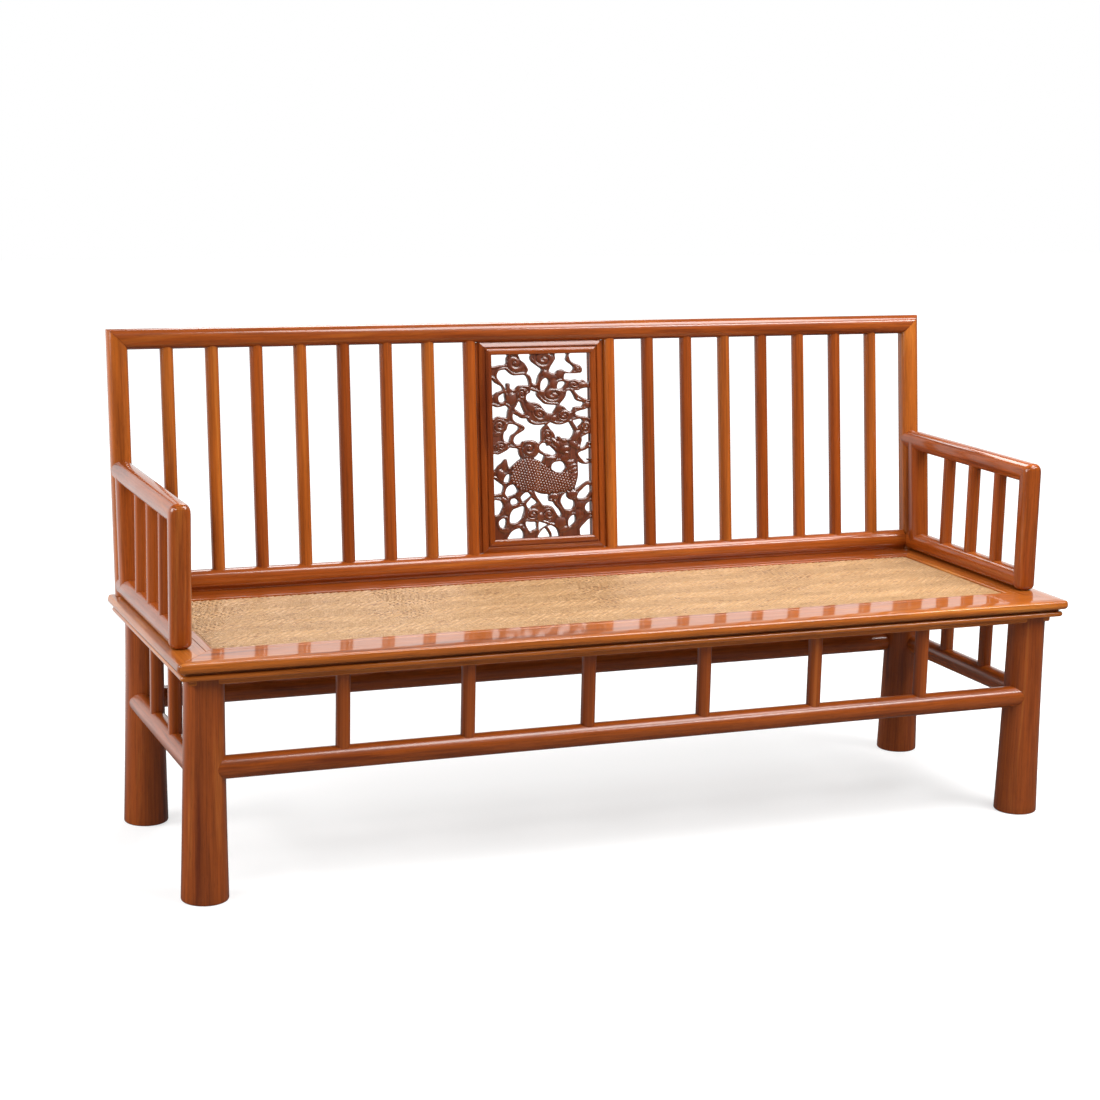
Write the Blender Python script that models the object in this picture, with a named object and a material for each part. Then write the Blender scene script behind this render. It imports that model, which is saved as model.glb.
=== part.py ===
"""Settee bench with a cane seat, spindle back and arms, and a carved openwork panel.

Lengths are metres, +Z is up, +X runs along the bench and its front faces -Y.
The origin is on the floor under the middle of the whole bench.
"""

import math

import bmesh
import bpy
from mathutils import Vector

# Clearance between pieces that touch, and what each side of a mitre gives up for it
GAP = 0.0003
MITRE_GAP = 0.7 * GAP

# Seat frame
SEAT_LENGTH = 1.800
SEAT_DEPTH = 0.594
SEAT_HEIGHT = 0.444
FRAME_THICKNESS = 0.043
LONG_RAIL_WIDTH = 0.102
END_RAIL_WIDTH = 0.085
EDGE_THICKNESS = 0.021
EDGE_ROUND_IN = 0.014
EDGE_ROUND_DOWN = 0.009
EDGE_ROUND_UNDER = 0.005
INNER_LIP = 0.002
FRAME_TONGUE = (0.060, 0.034, 0.009)

# Stacked edge strip under the frame
STRIP_INSET = 0.007
STRIP_WIDTH = 0.023
STRIP_GROOVE_DEPTH = 0.0026

# Cane mat and the braces below it
MAT_RECESS = 0.0025
MAT_THICKNESS = 0.008
MAT_PLAY = 0.0008
MAT_LEDGE = 0.010
BRACE_COUNT = 3
BRACE_WIDTH = 0.042
BRACE_HEIGHT = 0.022
BRACE_TENON = (0.028, 0.022, 0.012)

# Legs
LEG_INSET_X = 0.059
LEG_INSET_Y = 0.061
LEG_TOP_RADIUS = 0.0362
LEG_FOOT_RADIUS = 0.0428
LEG_FLARE = 1.6
LEG_FOOT_ROUND = 0.004
LEG_TENON_SIDE = 0.028
LEG_TENON_LENGTH = 0.020

# Stretchers and the struts that stand on them
STRETCHER_RADIUS = 0.021
STRETCHER_HEIGHT = 0.243
STRETCHER_SET_OUT = 0.013
STRETCHER_TENON_SIDE = 0.016
STRETCHER_TENON_LENGTH = 0.018
STRUT_SIDE = 0.025
STRUT_ROUND = 0.008
STRUT_TENON_SIDE = 0.012
STRUT_TENON_LENGTH = 0.015
LONG_STRUT_COUNT = 6
LONG_STRUT_PITCH = 0.237
END_STRUT_COUNT = 2
END_STRUT_PITCH = 0.147

# Members of the back and the arms
MEMBER = 0.040
MEMBER_ROUND = 0.013
MEMBER_TENON_SIDE = 0.013
MEMBER_TENON_LENGTH = 0.016
SPINDLE_RADIUS = 0.013
SPINDLE_TENON_SIDE = 0.0124
SPINDLE_TENON_LENGTH = 0.010

# Back
BACK_HEIGHT = 0.510
BACK_RAKE = math.radians(6.6)
BACK_INSET = 0.0253
BACK_RAIL_LIFT = 0.001
SPINDLES_PER_SIDE = 8

# Arms
ARM_INSET = 0.032
ARM_HEIGHT = 0.259
ARM_SETBACK = 0.1205
ARM_CORNER_ROUND = 0.012
ARM_SPINDLE_COUNT = 3
ARM_SPINDLE_FIRST = 0.1065
ARM_SPINDLE_PITCH = 0.097

# Carved panel and its moulded frame
PANEL_OPENING_WIDTH = 0.2274
PANEL_FRAME_WIDTH = 0.026
PANEL_FRAME_THICKNESS = 0.020
PANEL_BEAD_WIDTH = 0.008
PANEL_BEAD_RISE = 0.001
PANEL_SIDE_PLAY = 0.0008
PANEL_TENON_SIDE = 0.008
PANEL_TENON_LENGTH = 0.006
RIM_THICKNESS = 0.006
RIM_TONGUE = 0.005
RIM_SHOW = 0.003
RELIEF_FRONT = 0.0065
RELIEF_BACK = 0.0055

# Size of the panel's opening on the drawing below, in its millimetres
DRAWN_WIDTH = 216
DRAWN_HEIGHT = 376

# Ribbons of the carving: width, then the points they pass through
RIBBONS = (
    # Sky: scrolling cloud bands
    (8, ((-113, 162), (-93, 165), (-72, 161))),
    (8, ((-104, 162), (-100, 145), (-92, 133), (-81, 122), (-74, 112))),
    (8, ((-36, 152), (-23, 139), (-20, 126), (-10, 119), (-4, 130), (0, 142), (12, 152))),
    (14, ((9, 149), (22, 143), (31, 130), (32, 108))),
    (17, ((25, 145), (42, 142), (50, 132), (60, 121))),
    (8, ((61, 191), (60, 177), (69, 168), (82, 163), (88, 155), (80, 149), (58, 151), (40, 146))),
    (7, ((-34, 121), (-16, 115), (6, 109))),
    (18, ((55, 117), (70, 121), (88, 123), (117, 122))),
    (7, ((66, 118), (74, 102), (85, 95), (98, 90), (114, 84))),
    (8, ((114, 82), (94, 76), (80, 74), (71, 66), (65, 54))),
    (7, ((63, 53), (82, 57), (98, 55), (107, 46), (113, 37))),
    (8, ((62, 58), (71, 42), (79, 28), (83, 13), (79, -2))),
    (8, ((-72, 112), (-92, 113), (-101, 104), (-100, 94), (-90, 86), (-70, 90))),
    (7, ((-72, 131), (-71, 114))),
    (8, ((-58, 114), (-43, 123), (-30, 120), (-22, 115))),
    (6, ((-41, 100), (-35, 79), (-28, 62))),
    (8, ((-68, 88), (-57, 72), (-44, 62), (-22, 66))),
    (8, ((-66, 86), (-69, 68), (-64, 56), (-49, 48), (-40, 40), (-45, 32), (-58, 24), (-65, 14), (-65, 2),
         (-45, -1))),
    (14, ((-98, 36), (-92, 10))),
    (10, ((-113, 49), (-95, 49))),
    (10, ((-115, 2), (-95, 1))),
    (10, ((40, 90), (42, 66))),
    (12, ((20, 61), (42, 58))),
    (7, ((11, 54), (11, 32))),
    (6, ((8, 35), (-1, 18), (-6, 6), (-16, -4))),
    # Head, mane and horns of the beast
    (6, ((-14, 2), (-5, -12), (7, -20), (28, -23))),
    (7, ((8, 8), (21, -3), (38, -18))),
    (13, ((0, -34), (11, -25), (25, -27), (48, -21))),
    (25, ((55, -87), (65, -60), (66, -36), (56, -12))),
    (6, ((62, -12), (92, -9), (114, -5))),
    (6, ((97, -10), (101, -2), (114, 5))),
    (6, ((62, -13), (80, -28), (93, -37), (114, -36))),
    (10, ((58, -13), (77, 1), (86, 15))),
    # Tail and legs
    (12, ((-78, -24), (-86, -38), (-94, -52))),
    (12, ((-96, -46), (-93, -61), (-83, -74), (-74, -74), (-58, -60))),
    (10, ((-54, -76), (-50, -95), (-59, -102), (-82, -105))),
    (7, ((-32, -80), (-17, -105), (-4, -120), (2, -134))),
    (6, ((-17, -101), (-30, -106), (-44, -117))),
    (13, ((24, -84), (21, -106), (16, -114))),
    (9, ((28, -100), (40, -121), (51, -138), (64, -139))),
    (12, ((61, -84), (64, -102), (65, -110), (80, -116))),
    (7, ((-82, -72), (-84, -88), (-80, -104))),
    # Rocks and roots
    (12, ((-119, -99), (-95, -99), (-75, -107))),
    (19, ((-81, -102), (-77, -123), (-82, -144))),
    (9, ((-120, -139), (-95, -139), (-78, -142))),
    (8, ((-78, -118), (-60, -121), (-42, -116))),
    (8, ((-57, -100), (-48, -114), (-39, -125), (-40, -139), (-46, -151), (-63, -159), (-82, -153))),
    (8, ((-78, -140), (-80, -158), (-92, -166), (-103, -159), (-120, -146))),
    (14, ((-121, -173), (-96, -173), (-72, -163))),
    (9, ((-88, -193), (-79, -175), (-60, -164), (-45, -174), (-37, -195))),
    (9, ((-48, -151), (-34, -168), (-21, -179), (-10, -192))),
    (7, ((-11, -142), (-13, -165), (-22, -182))),
    (7, ((-15, -195), (-5, -175), (8, -165), (22, -164), (33, -172), (38, -197))),
    (6, ((4, -164), (15, -178), (18, -197))),
    (27, ((-4, -134), (20, -149), (42, -167))),
    (8, ((20, -143), (42, -151), (72, -143))),
    (9, ((45, -139), (62, -139), (78, -130))),
    (23, ((83, -113), (82, -137), (73, -159))),
    (8, ((76, -116), (94, -114), (105, -103), (108, -91), (108, -76))),
    (7, ((68, -108), (83, -89), (99, -80), (115, -77))),
    (10, ((84, -138), (100, -144), (116, -140))),
    (8, ((92, -114), (116, -116))),
    (9, ((79, -150), (64, -169), (48, -175), (35, -187), (30, -197))),
    (10, ((93, -146), (79, -168), (68, -182), (63, -198))),
    (10, ((34, -189), (70, -186), (114, -196))),
)

# Rounded masses of the carving: centre, half width, half height and tilt in degrees
MASSES = (
    # Clouds
    (-56, 172, 19, 21, 0), (-47, 160, 19, 11, -20), (5, 178, 25, 14, -8), (9, 165, 15, 12, 0),
    (82, 156, 8, 7, 0), (26, 106, 28, 14, -6), (25, 95, 19, 9, 0), (-41, 108, 14, 13, 0),
    (-65, 108, 13, 10, 0), (-65, 94, 14, 10, 0), (-11, 74, 28, 15, -33), (2, 61, 22, 13, -20),
    (-91, 46, 17, 18, 0), (-90, 3, 16, 14, 0), (47, 63, 15, 15, 0), (40, 54, 14, 9, 0),
    (98, 35, 13, 13, 0), (17, 21, 12, 19, 25), (-27, -6, 22, 19, 0), (-23, 7, 13, 7, 0),
    # Beast
    (-7, -60, 58, 32, -8), (-40, -57, 29, 30, 0), (53, -66, 24, 28, 0), (48, -3, 24, 15, -12),
    (58, -15, 15, 12, 0), (-91, -50, 12, 12, 0), (30, -105, 11, 9, 0), (64, -103, 10, 9, 0),
    # Rocks
    (-22, -138, 18, 15, 0), (12, -140, 19, 16, 0), (42, -160, 14, 14, 0), (-96, -178, 15, 10, 0),
)

# Finishes: colour, roughness
LACQUER = ((0.34, 0.085, 0.022), 0.28)
CARVED_LACQUER = ((0.27, 0.065, 0.018), 0.34)
CANE = ((0.72, 0.49, 0.26), 0.55)

# Places that follow from the sizes above
MEMBER_HALF = MEMBER / 2
MEMBER_FLAT = MEMBER_HALF - MEMBER_ROUND
FRAME_BOTTOM = SEAT_HEIGHT - FRAME_THICKNESS
EDGE_BOTTOM = SEAT_HEIGHT - EDGE_THICKNESS
MAT_TOP = SEAT_HEIGHT - MAT_RECESS
LEDGE_TOP = MAT_TOP - MAT_THICKNESS - GAP
REBATE = STRIP_INSET + STRIP_WIDTH + GAP
MITRE_RATIO = END_RAIL_WIDTH / LONG_RAIL_WIDTH
LEG_X = SEAT_LENGTH / 2 - LEG_INSET_X
LEG_Y = SEAT_DEPTH / 2 - LEG_INSET_Y
POST_X = SEAT_LENGTH / 2 - ARM_INSET
BACK_Y = SEAT_DEPTH / 2 - BACK_INSET
TOP_RAIL_BOTTOM = BACK_HEIGHT - MEMBER
BOTTOM_RAIL_TOP = MEMBER + BACK_RAIL_LIFT
RAKE_TAN = math.tan(BACK_RAKE)
RAKE_SIN = math.sin(BACK_RAKE)
RAKE_COS = math.cos(BACK_RAKE)
ARM_RAIL_BOTTOM = ARM_HEIGHT - MEMBER
ARM_FRONT_Y = ARM_SETBACK - SEAT_DEPTH / 2
PANEL_HALF = PANEL_OPENING_WIDTH / 2
PANEL_OUTER_HALF = PANEL_HALF + PANEL_FRAME_WIDTH
PANEL_BOTTOM = BOTTOM_RAIL_TOP + GAP + PANEL_FRAME_WIDTH
PANEL_TOP = TOP_RAIL_BOTTOM - GAP - PANEL_FRAME_WIDTH
BACK_REACH = (BACK_HEIGHT - MEMBER_HALF) * RAKE_SIN + MEMBER_FLAT * (RAKE_SIN + RAKE_COS) + MEMBER_ROUND
BENCH_Y = -(BACK_Y + BACK_REACH - SEAT_DEPTH / 2) / 2


def clear_scene():
    """Remove whatever the scene holds."""
    for obj in list(bpy.data.objects):
        bpy.data.objects.remove(obj, do_unlink=True)


def add_frame(name, parent=None, location=(0, 0, 0), rotation=(0, 0, 0)):
    """Empty that places a group of pieces."""
    empty = bpy.data.objects.new(name, None)
    bpy.context.scene.collection.objects.link(empty)
    empty.parent = parent
    empty.location = location
    empty.rotation_euler = rotation
    return empty


def add_piece(name, mesh, finish, frame, location=(0, 0, 0), rotation=(0, 0, 0)):
    """Named piece with its own lacquer or cane finish."""
    colour, roughness = finish
    material = bpy.data.materials.new(name + "_finish")
    material.use_nodes = True
    shader = material.node_tree.nodes["Principled BSDF"]
    shader.inputs["Base Color"].default_value = (*colour, 1)
    shader.inputs["Roughness"].default_value = roughness
    shader.inputs["Metallic"].default_value = 0
    piece = bpy.data.objects.new(name, mesh)
    piece.data.materials.append(None)
    piece.material_slots[0].link = "OBJECT"
    piece.material_slots[0].material = material
    bpy.context.scene.collection.objects.link(piece)
    piece.parent = frame
    piece.location = location
    piece.rotation_euler = rotation
    return piece


def add_helper(name, mesh, frame, location=(0, 0, 0), rotation=(0, 0, 0)):
    """Shape that only cuts or joins other pieces."""
    helper = bpy.data.objects.new(name, mesh)
    bpy.context.scene.collection.objects.link(helper)
    helper.parent = frame
    helper.location = location
    helper.rotation_euler = rotation
    helper.hide_render = True
    helper.display_type = "WIRE"
    return helper


def combine(piece, operation, helper):
    """Boolean of one piece with one helper."""
    modifier = piece.modifiers.new(helper.name, "BOOLEAN")
    modifier.operation = operation
    modifier.solver = "EXACT"
    modifier.object = helper
    return modifier


def to_mesh(name, bm):
    """Closed mesh from a bmesh, faces turned outwards and round sides smooth."""
    bmesh.ops.recalc_face_normals(bm, faces=bm.faces)
    mesh = bpy.data.meshes.new(name)
    bm.to_mesh(mesh)
    bm.free()
    mesh.shade_smooth()
    mesh.set_sharp_from_angle(angle=math.radians(35))
    return mesh


def add_boxes(bm, boxes):
    """Boxes given by centre and size."""
    for centre, size in boxes:
        corners = bmesh.ops.create_cube(bm, size=1)["verts"]
        for vert in corners:
            vert.co = Vector(centre) + Vector(a * b for a, b in zip(vert.co, size))


def box_mesh(name, boxes):
    bm = bmesh.new()
    add_boxes(bm, boxes)
    return to_mesh(name, bm)


def rounded_square(half, radius, per_corner=4):
    """Points round a rounded square, anticlockwise from its first side."""
    points = []
    for corner in range(4):
        quarter = math.pi / 2 * corner
        centre_angle = quarter + math.pi / 4
        inset = (half - radius) * math.sqrt(2)
        for k in range(per_corner):
            angle = quarter + math.pi / 2 * k / (per_corner - 1)
            a = inset * math.cos(centre_angle) + radius * math.cos(angle)
            b = inset * math.sin(centre_angle) + radius * math.sin(angle)
            points.append((a, b))
    return points


def circle(radius, per_quarter):
    """Points round a circle in four equal groups, like the corners of a rounded square."""
    count = 4 * per_quarter
    angles = [2 * math.pi * (k + 0.5) / count for k in range(count)]
    return [(radius * math.cos(a), radius * math.sin(a)) for a in angles]


def add_sides(bm, rows, closed=False):
    """Quads between successive rows of vertices."""
    pairs = list(zip(rows, rows[1:]))
    if closed:
        pairs.append((rows[-1], rows[0]))
    for low, high in pairs:
        count = len(low)
        for k in range(count):
            n = (k + 1) % count
            bm.faces.new((low[k], low[n], high[n], high[k]))


def add_loft(bm, rings, scribed=False):
    """Closed skin over rings; a scribed end is made of strips across the ring."""
    rows = [[bm.verts.new(point) for point in ring] for ring in rings]
    add_sides(bm, rows)
    for row in (rows[0], rows[-1]):
        if not scribed:
            bm.faces.new(row)
            continue
        count = len(row)
        for k in range(count // 2 - 1):
            bm.faces.new((row[k], row[k + 1], row[count - 2 - k], row[count - 1 - k]))


def loft(name, rings, scribed=False):
    bm = bmesh.new()
    add_loft(bm, rings, scribed)
    return to_mesh(name, bm)


def add_turned(bm, rings, tenons, centre=(0, 0)):
    """Upright piece with a square tenon (half side, root, tip) or a flat at each end."""
    rows = [[bm.verts.new((x + centre[0], y + centre[1], z)) for x, y, z in ring] for ring in rings]
    add_sides(bm, rows)
    for row, tenon in zip((rows[0], rows[-1]), tenons):
        if tenon is None:
            bm.faces.new(row)
            continue
        half, root, tip = tenon
        corners = [(half, half), (-half, half), (-half, -half), (half, -half)]
        places = [(x + centre[0], y + centre[1]) for x, y in corners]
        base = [bm.verts.new((x, y, root)) for x, y in places]
        end = [bm.verts.new((x, y, tip)) for x, y in places]
        share = len(row) // 4
        for k in range(4):
            group = row[k * share:(k + 1) * share]
            for first, second in zip(group, group[1:]):
                bm.faces.new((base[k], first, second))
            n = (k + 1) % 4
            bm.faces.new((base[k], group[-1], row[n * share], base[n]))
            bm.faces.new((base[k], base[n], end[n], end[k]))
        bm.faces.new(end)


def round_drop(across):
    """How far a member's rounded face falls back at this distance from its middle."""
    past = max(abs(across) - MEMBER_FLAT, 0)
    return MEMBER_ROUND - math.sqrt(max(MEMBER_ROUND ** 2 - past ** 2, 0))


class Joinery:
    """Square tenons and the mortises they sit in, collected per piece."""

    def __init__(self):
        self.tenons = {}
        self.mortises = {}

    def tenon(self, owner, host, frame, centre, size):
        """Tenon that is part of its owner, in a mortise cut in its host."""
        self.tenons.setdefault((owner, frame), []).append((centre, size))
        self.mortise(host, frame, centre, size)

    def mortise(self, host, frame, centre, size):
        loose = tuple(s + 2 * GAP for s in size)
        self.mortises.setdefault((host, frame), []).append((centre, loose))

    def make(self):
        for kind, operation, table in (
            ("tenons", "UNION", self.tenons),
            ("mortises", "DIFFERENCE", self.mortises),
        ):
            for (piece, frame), boxes in table.items():
                name = f"{piece.name}_{kind}_{frame.name}"
                combine(piece, operation, add_helper(name, box_mesh(name, boxes), frame))


def edge_profile(scale):
    """Upper half of the seat frame's rounded edge, from its nose to its flat top."""
    points = []
    for k in range(6):
        angle = math.pi / 2 * k / 5
        inward = EDGE_ROUND_IN * scale * (1 - math.cos(angle))
        points.append((inward, SEAT_HEIGHT - EDGE_ROUND_DOWN * (1 - math.sin(angle))))
    return points


def rail_profile(width):
    """Section of a seat rail: distance in from the seat's edge, and height."""
    scale = width / LONG_RAIL_WIDTH
    under = EDGE_ROUND_UNDER
    return [
        (REBATE, FRAME_BOTTOM),
        (REBATE, EDGE_BOTTOM),
        (under, EDGE_BOTTOM),
        (under * 0.3, EDGE_BOTTOM + under * 0.3),
        (0, EDGE_BOTTOM + under),
        *edge_profile(scale),
        (width - INNER_LIP, SEAT_HEIGHT),
        (width, SEAT_HEIGHT - INNER_LIP),
        (width, LEDGE_TOP),
        (width + MAT_LEDGE, LEDGE_TOP),
        (width + MAT_LEDGE, FRAME_BOTTOM),
    ]


def strip_profile():
    """Section of the edge strip: two beads with a fine groove between them."""
    top = EDGE_BOTTOM - GAP
    shadow = top - STRIP_GROOVE_DEPTH
    height = shadow - FRAME_BOTTOM
    groove = FRAME_BOTTOM + 0.38 * height
    front = STRIP_INSET
    soft = 0.0015
    return [
        (front + STRIP_WIDTH, FRAME_BOTTOM),
        (front + soft, FRAME_BOTTOM),
        (front, FRAME_BOTTOM + soft),
        (front, groove - 2 * soft),
        (front + 0.4 * soft, groove - soft),
        (front + STRIP_GROOVE_DEPTH, groove),
        (front + 0.4 * soft, groove + soft),
        (front, groove + 2 * soft),
        (front, shadow - 2 * soft),
        (front + soft, shadow),
        (front + 4 * soft, shadow),
        (front + 4 * soft, top),
        (front + STRIP_WIDTH, top),
    ]


def mitred_pair(name, profile, run, across, ratio):
    """Mitred rail whose outer edge is the -Y side of a frame of this run and depth."""
    rings = []
    for end in (-1, 1):
        reach = [end * (run / 2 - inward * ratio - MITRE_GAP) for inward, _ in profile]
        rings.append([(x, inward - across / 2, z) for x, (inward, z) in zip(reach, profile)])
    return loft(name, rings)


def leg_rings(grow):
    """Rings of the flared round leg, made fatter by this much."""
    def radius(z):
        flare = (1 - z / FRAME_BOTTOM) ** LEG_FLARE
        return LEG_TOP_RADIUS + (LEG_FOOT_RADIUS - LEG_TOP_RADIUS) * flare + grow

    heights = [LEG_FOOT_ROUND + (FRAME_BOTTOM - GAP - LEG_FOOT_ROUND) * k / 5 for k in range(6)]
    stations = [(0, radius(0) - LEG_FOOT_ROUND)]
    stations.append((LEG_FOOT_ROUND * 0.3, radius(0) - LEG_FOOT_ROUND * 0.3))
    stations += [(z, radius(z)) for z in heights]
    return [[(x, y, z) for x, y in circle(r, 6)] for z, r in stations]


def leg_mesh(name, grow, tenon):
    bm = bmesh.new()
    add_turned(bm, leg_rings(grow), (None, tenon))
    return to_mesh(name, bm)


def strut_mesh(name, places):
    """Struts from the stretcher's axis up to the seat frame, in a row along X."""
    bm = bmesh.new()
    section = rounded_square(STRUT_SIDE / 2, STRUT_ROUND, 3)
    top = FRAME_BOTTOM - GAP
    tenon = (STRUT_TENON_SIDE / 2, top, top + STRUT_TENON_LENGTH)
    for x in places:
        rings = [[(a, b, z) for a, b in section] for z in (STRETCHER_HEIGHT, top)]
        add_turned(bm, rings, (None, tenon), (x, 0))
    return to_mesh(name, bm)


def spindle_mesh(name, length, across):
    """Round spindle scribed to the rounded rails below and above it."""
    section = circle(SPINDLE_RADIUS, 3)
    low = [(*point, GAP - round_drop(point[across])) for point in section]
    high = [(*point, length - GAP + round_drop(point[across])) for point in section]
    half = SPINDLE_TENON_SIDE / 2
    tenons = ((half, GAP, -SPINDLE_TENON_LENGTH), (half, length - GAP, length + SPINDLE_TENON_LENGTH))
    bm = bmesh.new()
    add_turned(bm, [low, high], tenons)
    return to_mesh(name, bm)


def spread(count, pitch):
    """Places of a row that is centred on zero."""
    return [(k - (count - 1) / 2) * pitch for k in range(count)]


def build_seat(bench, joinery):
    """Mitred frame, edge strips, braces and cane mat."""
    rails = {}
    half_turn = (0, 0, math.pi)
    right_turn = (0, 0, math.pi / 2)
    left_turn = (0, 0, -math.pi / 2)
    long_mesh = mitred_pair("long_rail", rail_profile(LONG_RAIL_WIDTH), SEAT_LENGTH, SEAT_DEPTH, MITRE_RATIO)
    end_mesh = mitred_pair("end_rail", rail_profile(END_RAIL_WIDTH), SEAT_DEPTH, SEAT_LENGTH, 1 / MITRE_RATIO)
    long_strip = mitred_pair("long_strip", strip_profile(), SEAT_LENGTH, SEAT_DEPTH, 1)
    end_strip = mitred_pair("end_strip", strip_profile(), SEAT_DEPTH, SEAT_LENGTH, 1)
    for side, turn, rail, strip in (
        ("front", (0, 0, 0), long_mesh, long_strip),
        ("back", half_turn, long_mesh, long_strip),
        ("right", right_turn, end_mesh, end_strip),
        ("left", left_turn, end_mesh, end_strip),
    ):
        rails[side] = add_piece("seat_rail_" + side, rail.copy(), LACQUER, bench, rotation=turn)
        add_piece("edge_strip_" + side, strip.copy(), LACQUER, bench, rotation=turn)

    # Rebate across the ends of the long rails, where the end strips run through
    rebate_size = (2 * (REBATE - GAP), SEAT_DEPTH, 2 * (EDGE_BOTTOM - FRAME_BOTTOM - GAP))
    for side in ("front", "back"):
        for x in (-SEAT_LENGTH / 2, SEAT_LENGTH / 2):
            joinery.mortise(rails[side], bench, (x, 0, FRAME_BOTTOM), rebate_size)

    # Tongues of the long rails in the end rails, above the leg tenons
    along, wide, thick = FRAME_TONGUE
    tongue_z = SEAT_HEIGHT - FRAME_THICKNESS * 0.28
    tongue_in = LONG_RAIL_WIDTH * 0.62
    for y_side, rail in ((-1, rails["front"]), (1, rails["back"])):
        for x_side, host in ((-1, rails["left"]), (1, rails["right"])):
            x = x_side * (SEAT_LENGTH / 2 - tongue_in * MITRE_RATIO)
            y = y_side * (SEAT_DEPTH / 2 - tongue_in)
            joinery.tenon(rail, host, bench, (x, y, tongue_z), (along, wide, thick))

    # Braces under the mat, tenoned into the long rails
    inner = SEAT_DEPTH / 2 - LONG_RAIL_WIDTH - MAT_LEDGE
    wide, long, thick = BRACE_TENON
    brace_z = LEDGE_TOP - GAP - BRACE_HEIGHT / 2
    brace_size = (BRACE_WIDTH, 2 * (inner - GAP), BRACE_HEIGHT)
    pitch = (SEAT_LENGTH - 2 * END_RAIL_WIDTH) / (BRACE_COUNT + 1)
    for number, x in enumerate(spread(BRACE_COUNT, pitch), 1):
        mesh = box_mesh("brace", [((0, 0, 0), brace_size)])
        brace = add_piece(f"seat_brace_{number}", mesh, LACQUER, bench, (x, 0, brace_z))
        for y_side, rail in ((-1, rails["front"]), (1, rails["back"])):
            joinery.tenon(brace, rail, bench, (x, y_side * inner, brace_z), (wide, 2 * long, thick))

    mat_size = (
        SEAT_LENGTH - 2 * (END_RAIL_WIDTH + MAT_PLAY),
        SEAT_DEPTH - 2 * (LONG_RAIL_WIDTH + MAT_PLAY),
        MAT_THICKNESS,
    )
    mat = box_mesh("mat", [((0, 0, 0), mat_size)])
    add_piece("seat_mat", mat, CANE, bench, (0, 0, MAT_TOP - MAT_THICKNESS / 2))
    return rails


def build_base(bench, joinery, rails):
    """Round legs, round stretchers let into them, and the struts up to the seat."""
    tenon = (LEG_TENON_SIDE / 2, FRAME_BOTTOM - GAP, FRAME_BOTTOM + LEG_TENON_LENGTH)
    leg_shape = leg_mesh("leg", 0, tenon)
    scribe_shape = leg_mesh("leg_scribe", GAP, None)
    legs = {}
    scribes = {}
    mortise_size = (LEG_TENON_SIDE, LEG_TENON_SIDE, 2 * LEG_TENON_LENGTH)
    for y_name, y in (("front", -LEG_Y), ("back", LEG_Y)):
        for x_name, x in (("left", -LEG_X), ("right", LEG_X)):
            key = (y_name, x_name)
            legs[key] = add_piece(f"leg_{y_name}_{x_name}", leg_shape.copy(), LACQUER, bench, (x, y, 0))
            scribes[key] = add_helper(f"leg_scribe_{y_name}_{x_name}", scribe_shape, bench, (x, y, 0))
            for rail in (rails[y_name], rails[x_name]):
                joinery.mortise(rail, bench, (x, y, FRAME_BOTTOM), mortise_size)

    side = STRETCHER_TENON_SIDE
    section = circle(STRETCHER_RADIUS, 4)
    # How far a stretcher's middle line is from the leg's axis where it enters the leg
    entry = math.sqrt(LEG_TOP_RADIUS ** 2 - STRETCHER_SET_OUT ** 2)
    tip = entry - STRETCHER_TENON_LENGTH
    for name, along, reach, offset, turn, places in (
        ("front", 0, LEG_X, -LEG_Y - STRETCHER_SET_OUT, 0, spread(LONG_STRUT_COUNT, LONG_STRUT_PITCH)),
        ("back", 0, LEG_X, LEG_Y + STRETCHER_SET_OUT, 0, spread(LONG_STRUT_COUNT, LONG_STRUT_PITCH)),
        ("left", 1, LEG_Y, -LEG_X - STRETCHER_SET_OUT, math.pi / 2, spread(END_STRUT_COUNT, END_STRUT_PITCH)),
        ("right", 1, LEG_Y, LEG_X + STRETCHER_SET_OUT, math.pi / 2, spread(END_STRUT_COUNT, END_STRUT_PITCH)),
    ):
        rings = [[(x, a, b + STRETCHER_HEIGHT) for a, b in section] for x in (-reach, reach)]
        place = (offset, 0, 0) if along else (0, offset, 0)
        bar = loft("stretcher", rings)
        stretcher = add_piece("stretcher_" + name, bar, LACQUER, bench, place, (0, 0, turn))
        for key, scribe in scribes.items():
            if name in key:
                combine(stretcher, "DIFFERENCE", scribe)
        helper = f"struts_{name}"
        struts = add_helper(helper, strut_mesh(helper, places), bench, place, (0, 0, turn))
        combine(stretcher, "UNION", struts)
        for run in places:
            centre = (offset, run, FRAME_BOTTOM) if along else (run, offset, FRAME_BOTTOM)
            size = (STRUT_TENON_SIDE, STRUT_TENON_SIDE, 2 * STRUT_TENON_LENGTH)
            joinery.mortise(rails[name], bench, centre, size)
        for key, leg in legs.items():
            if name not in key:
                continue
            far = 1 if "right" in key else -1
            if along:
                far = 1 if "back" in key else -1
            middle = far * (reach - tip - STRETCHER_TENON_LENGTH)
            centre = (offset, middle, STRETCHER_HEIGHT) if along else (middle, offset, STRETCHER_HEIGHT)
            length = 2 * STRETCHER_TENON_LENGTH
            size = (side, length, side) if along else (length, side, side)
            joinery.tenon(stretcher, leg, bench, centre, size)


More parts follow.
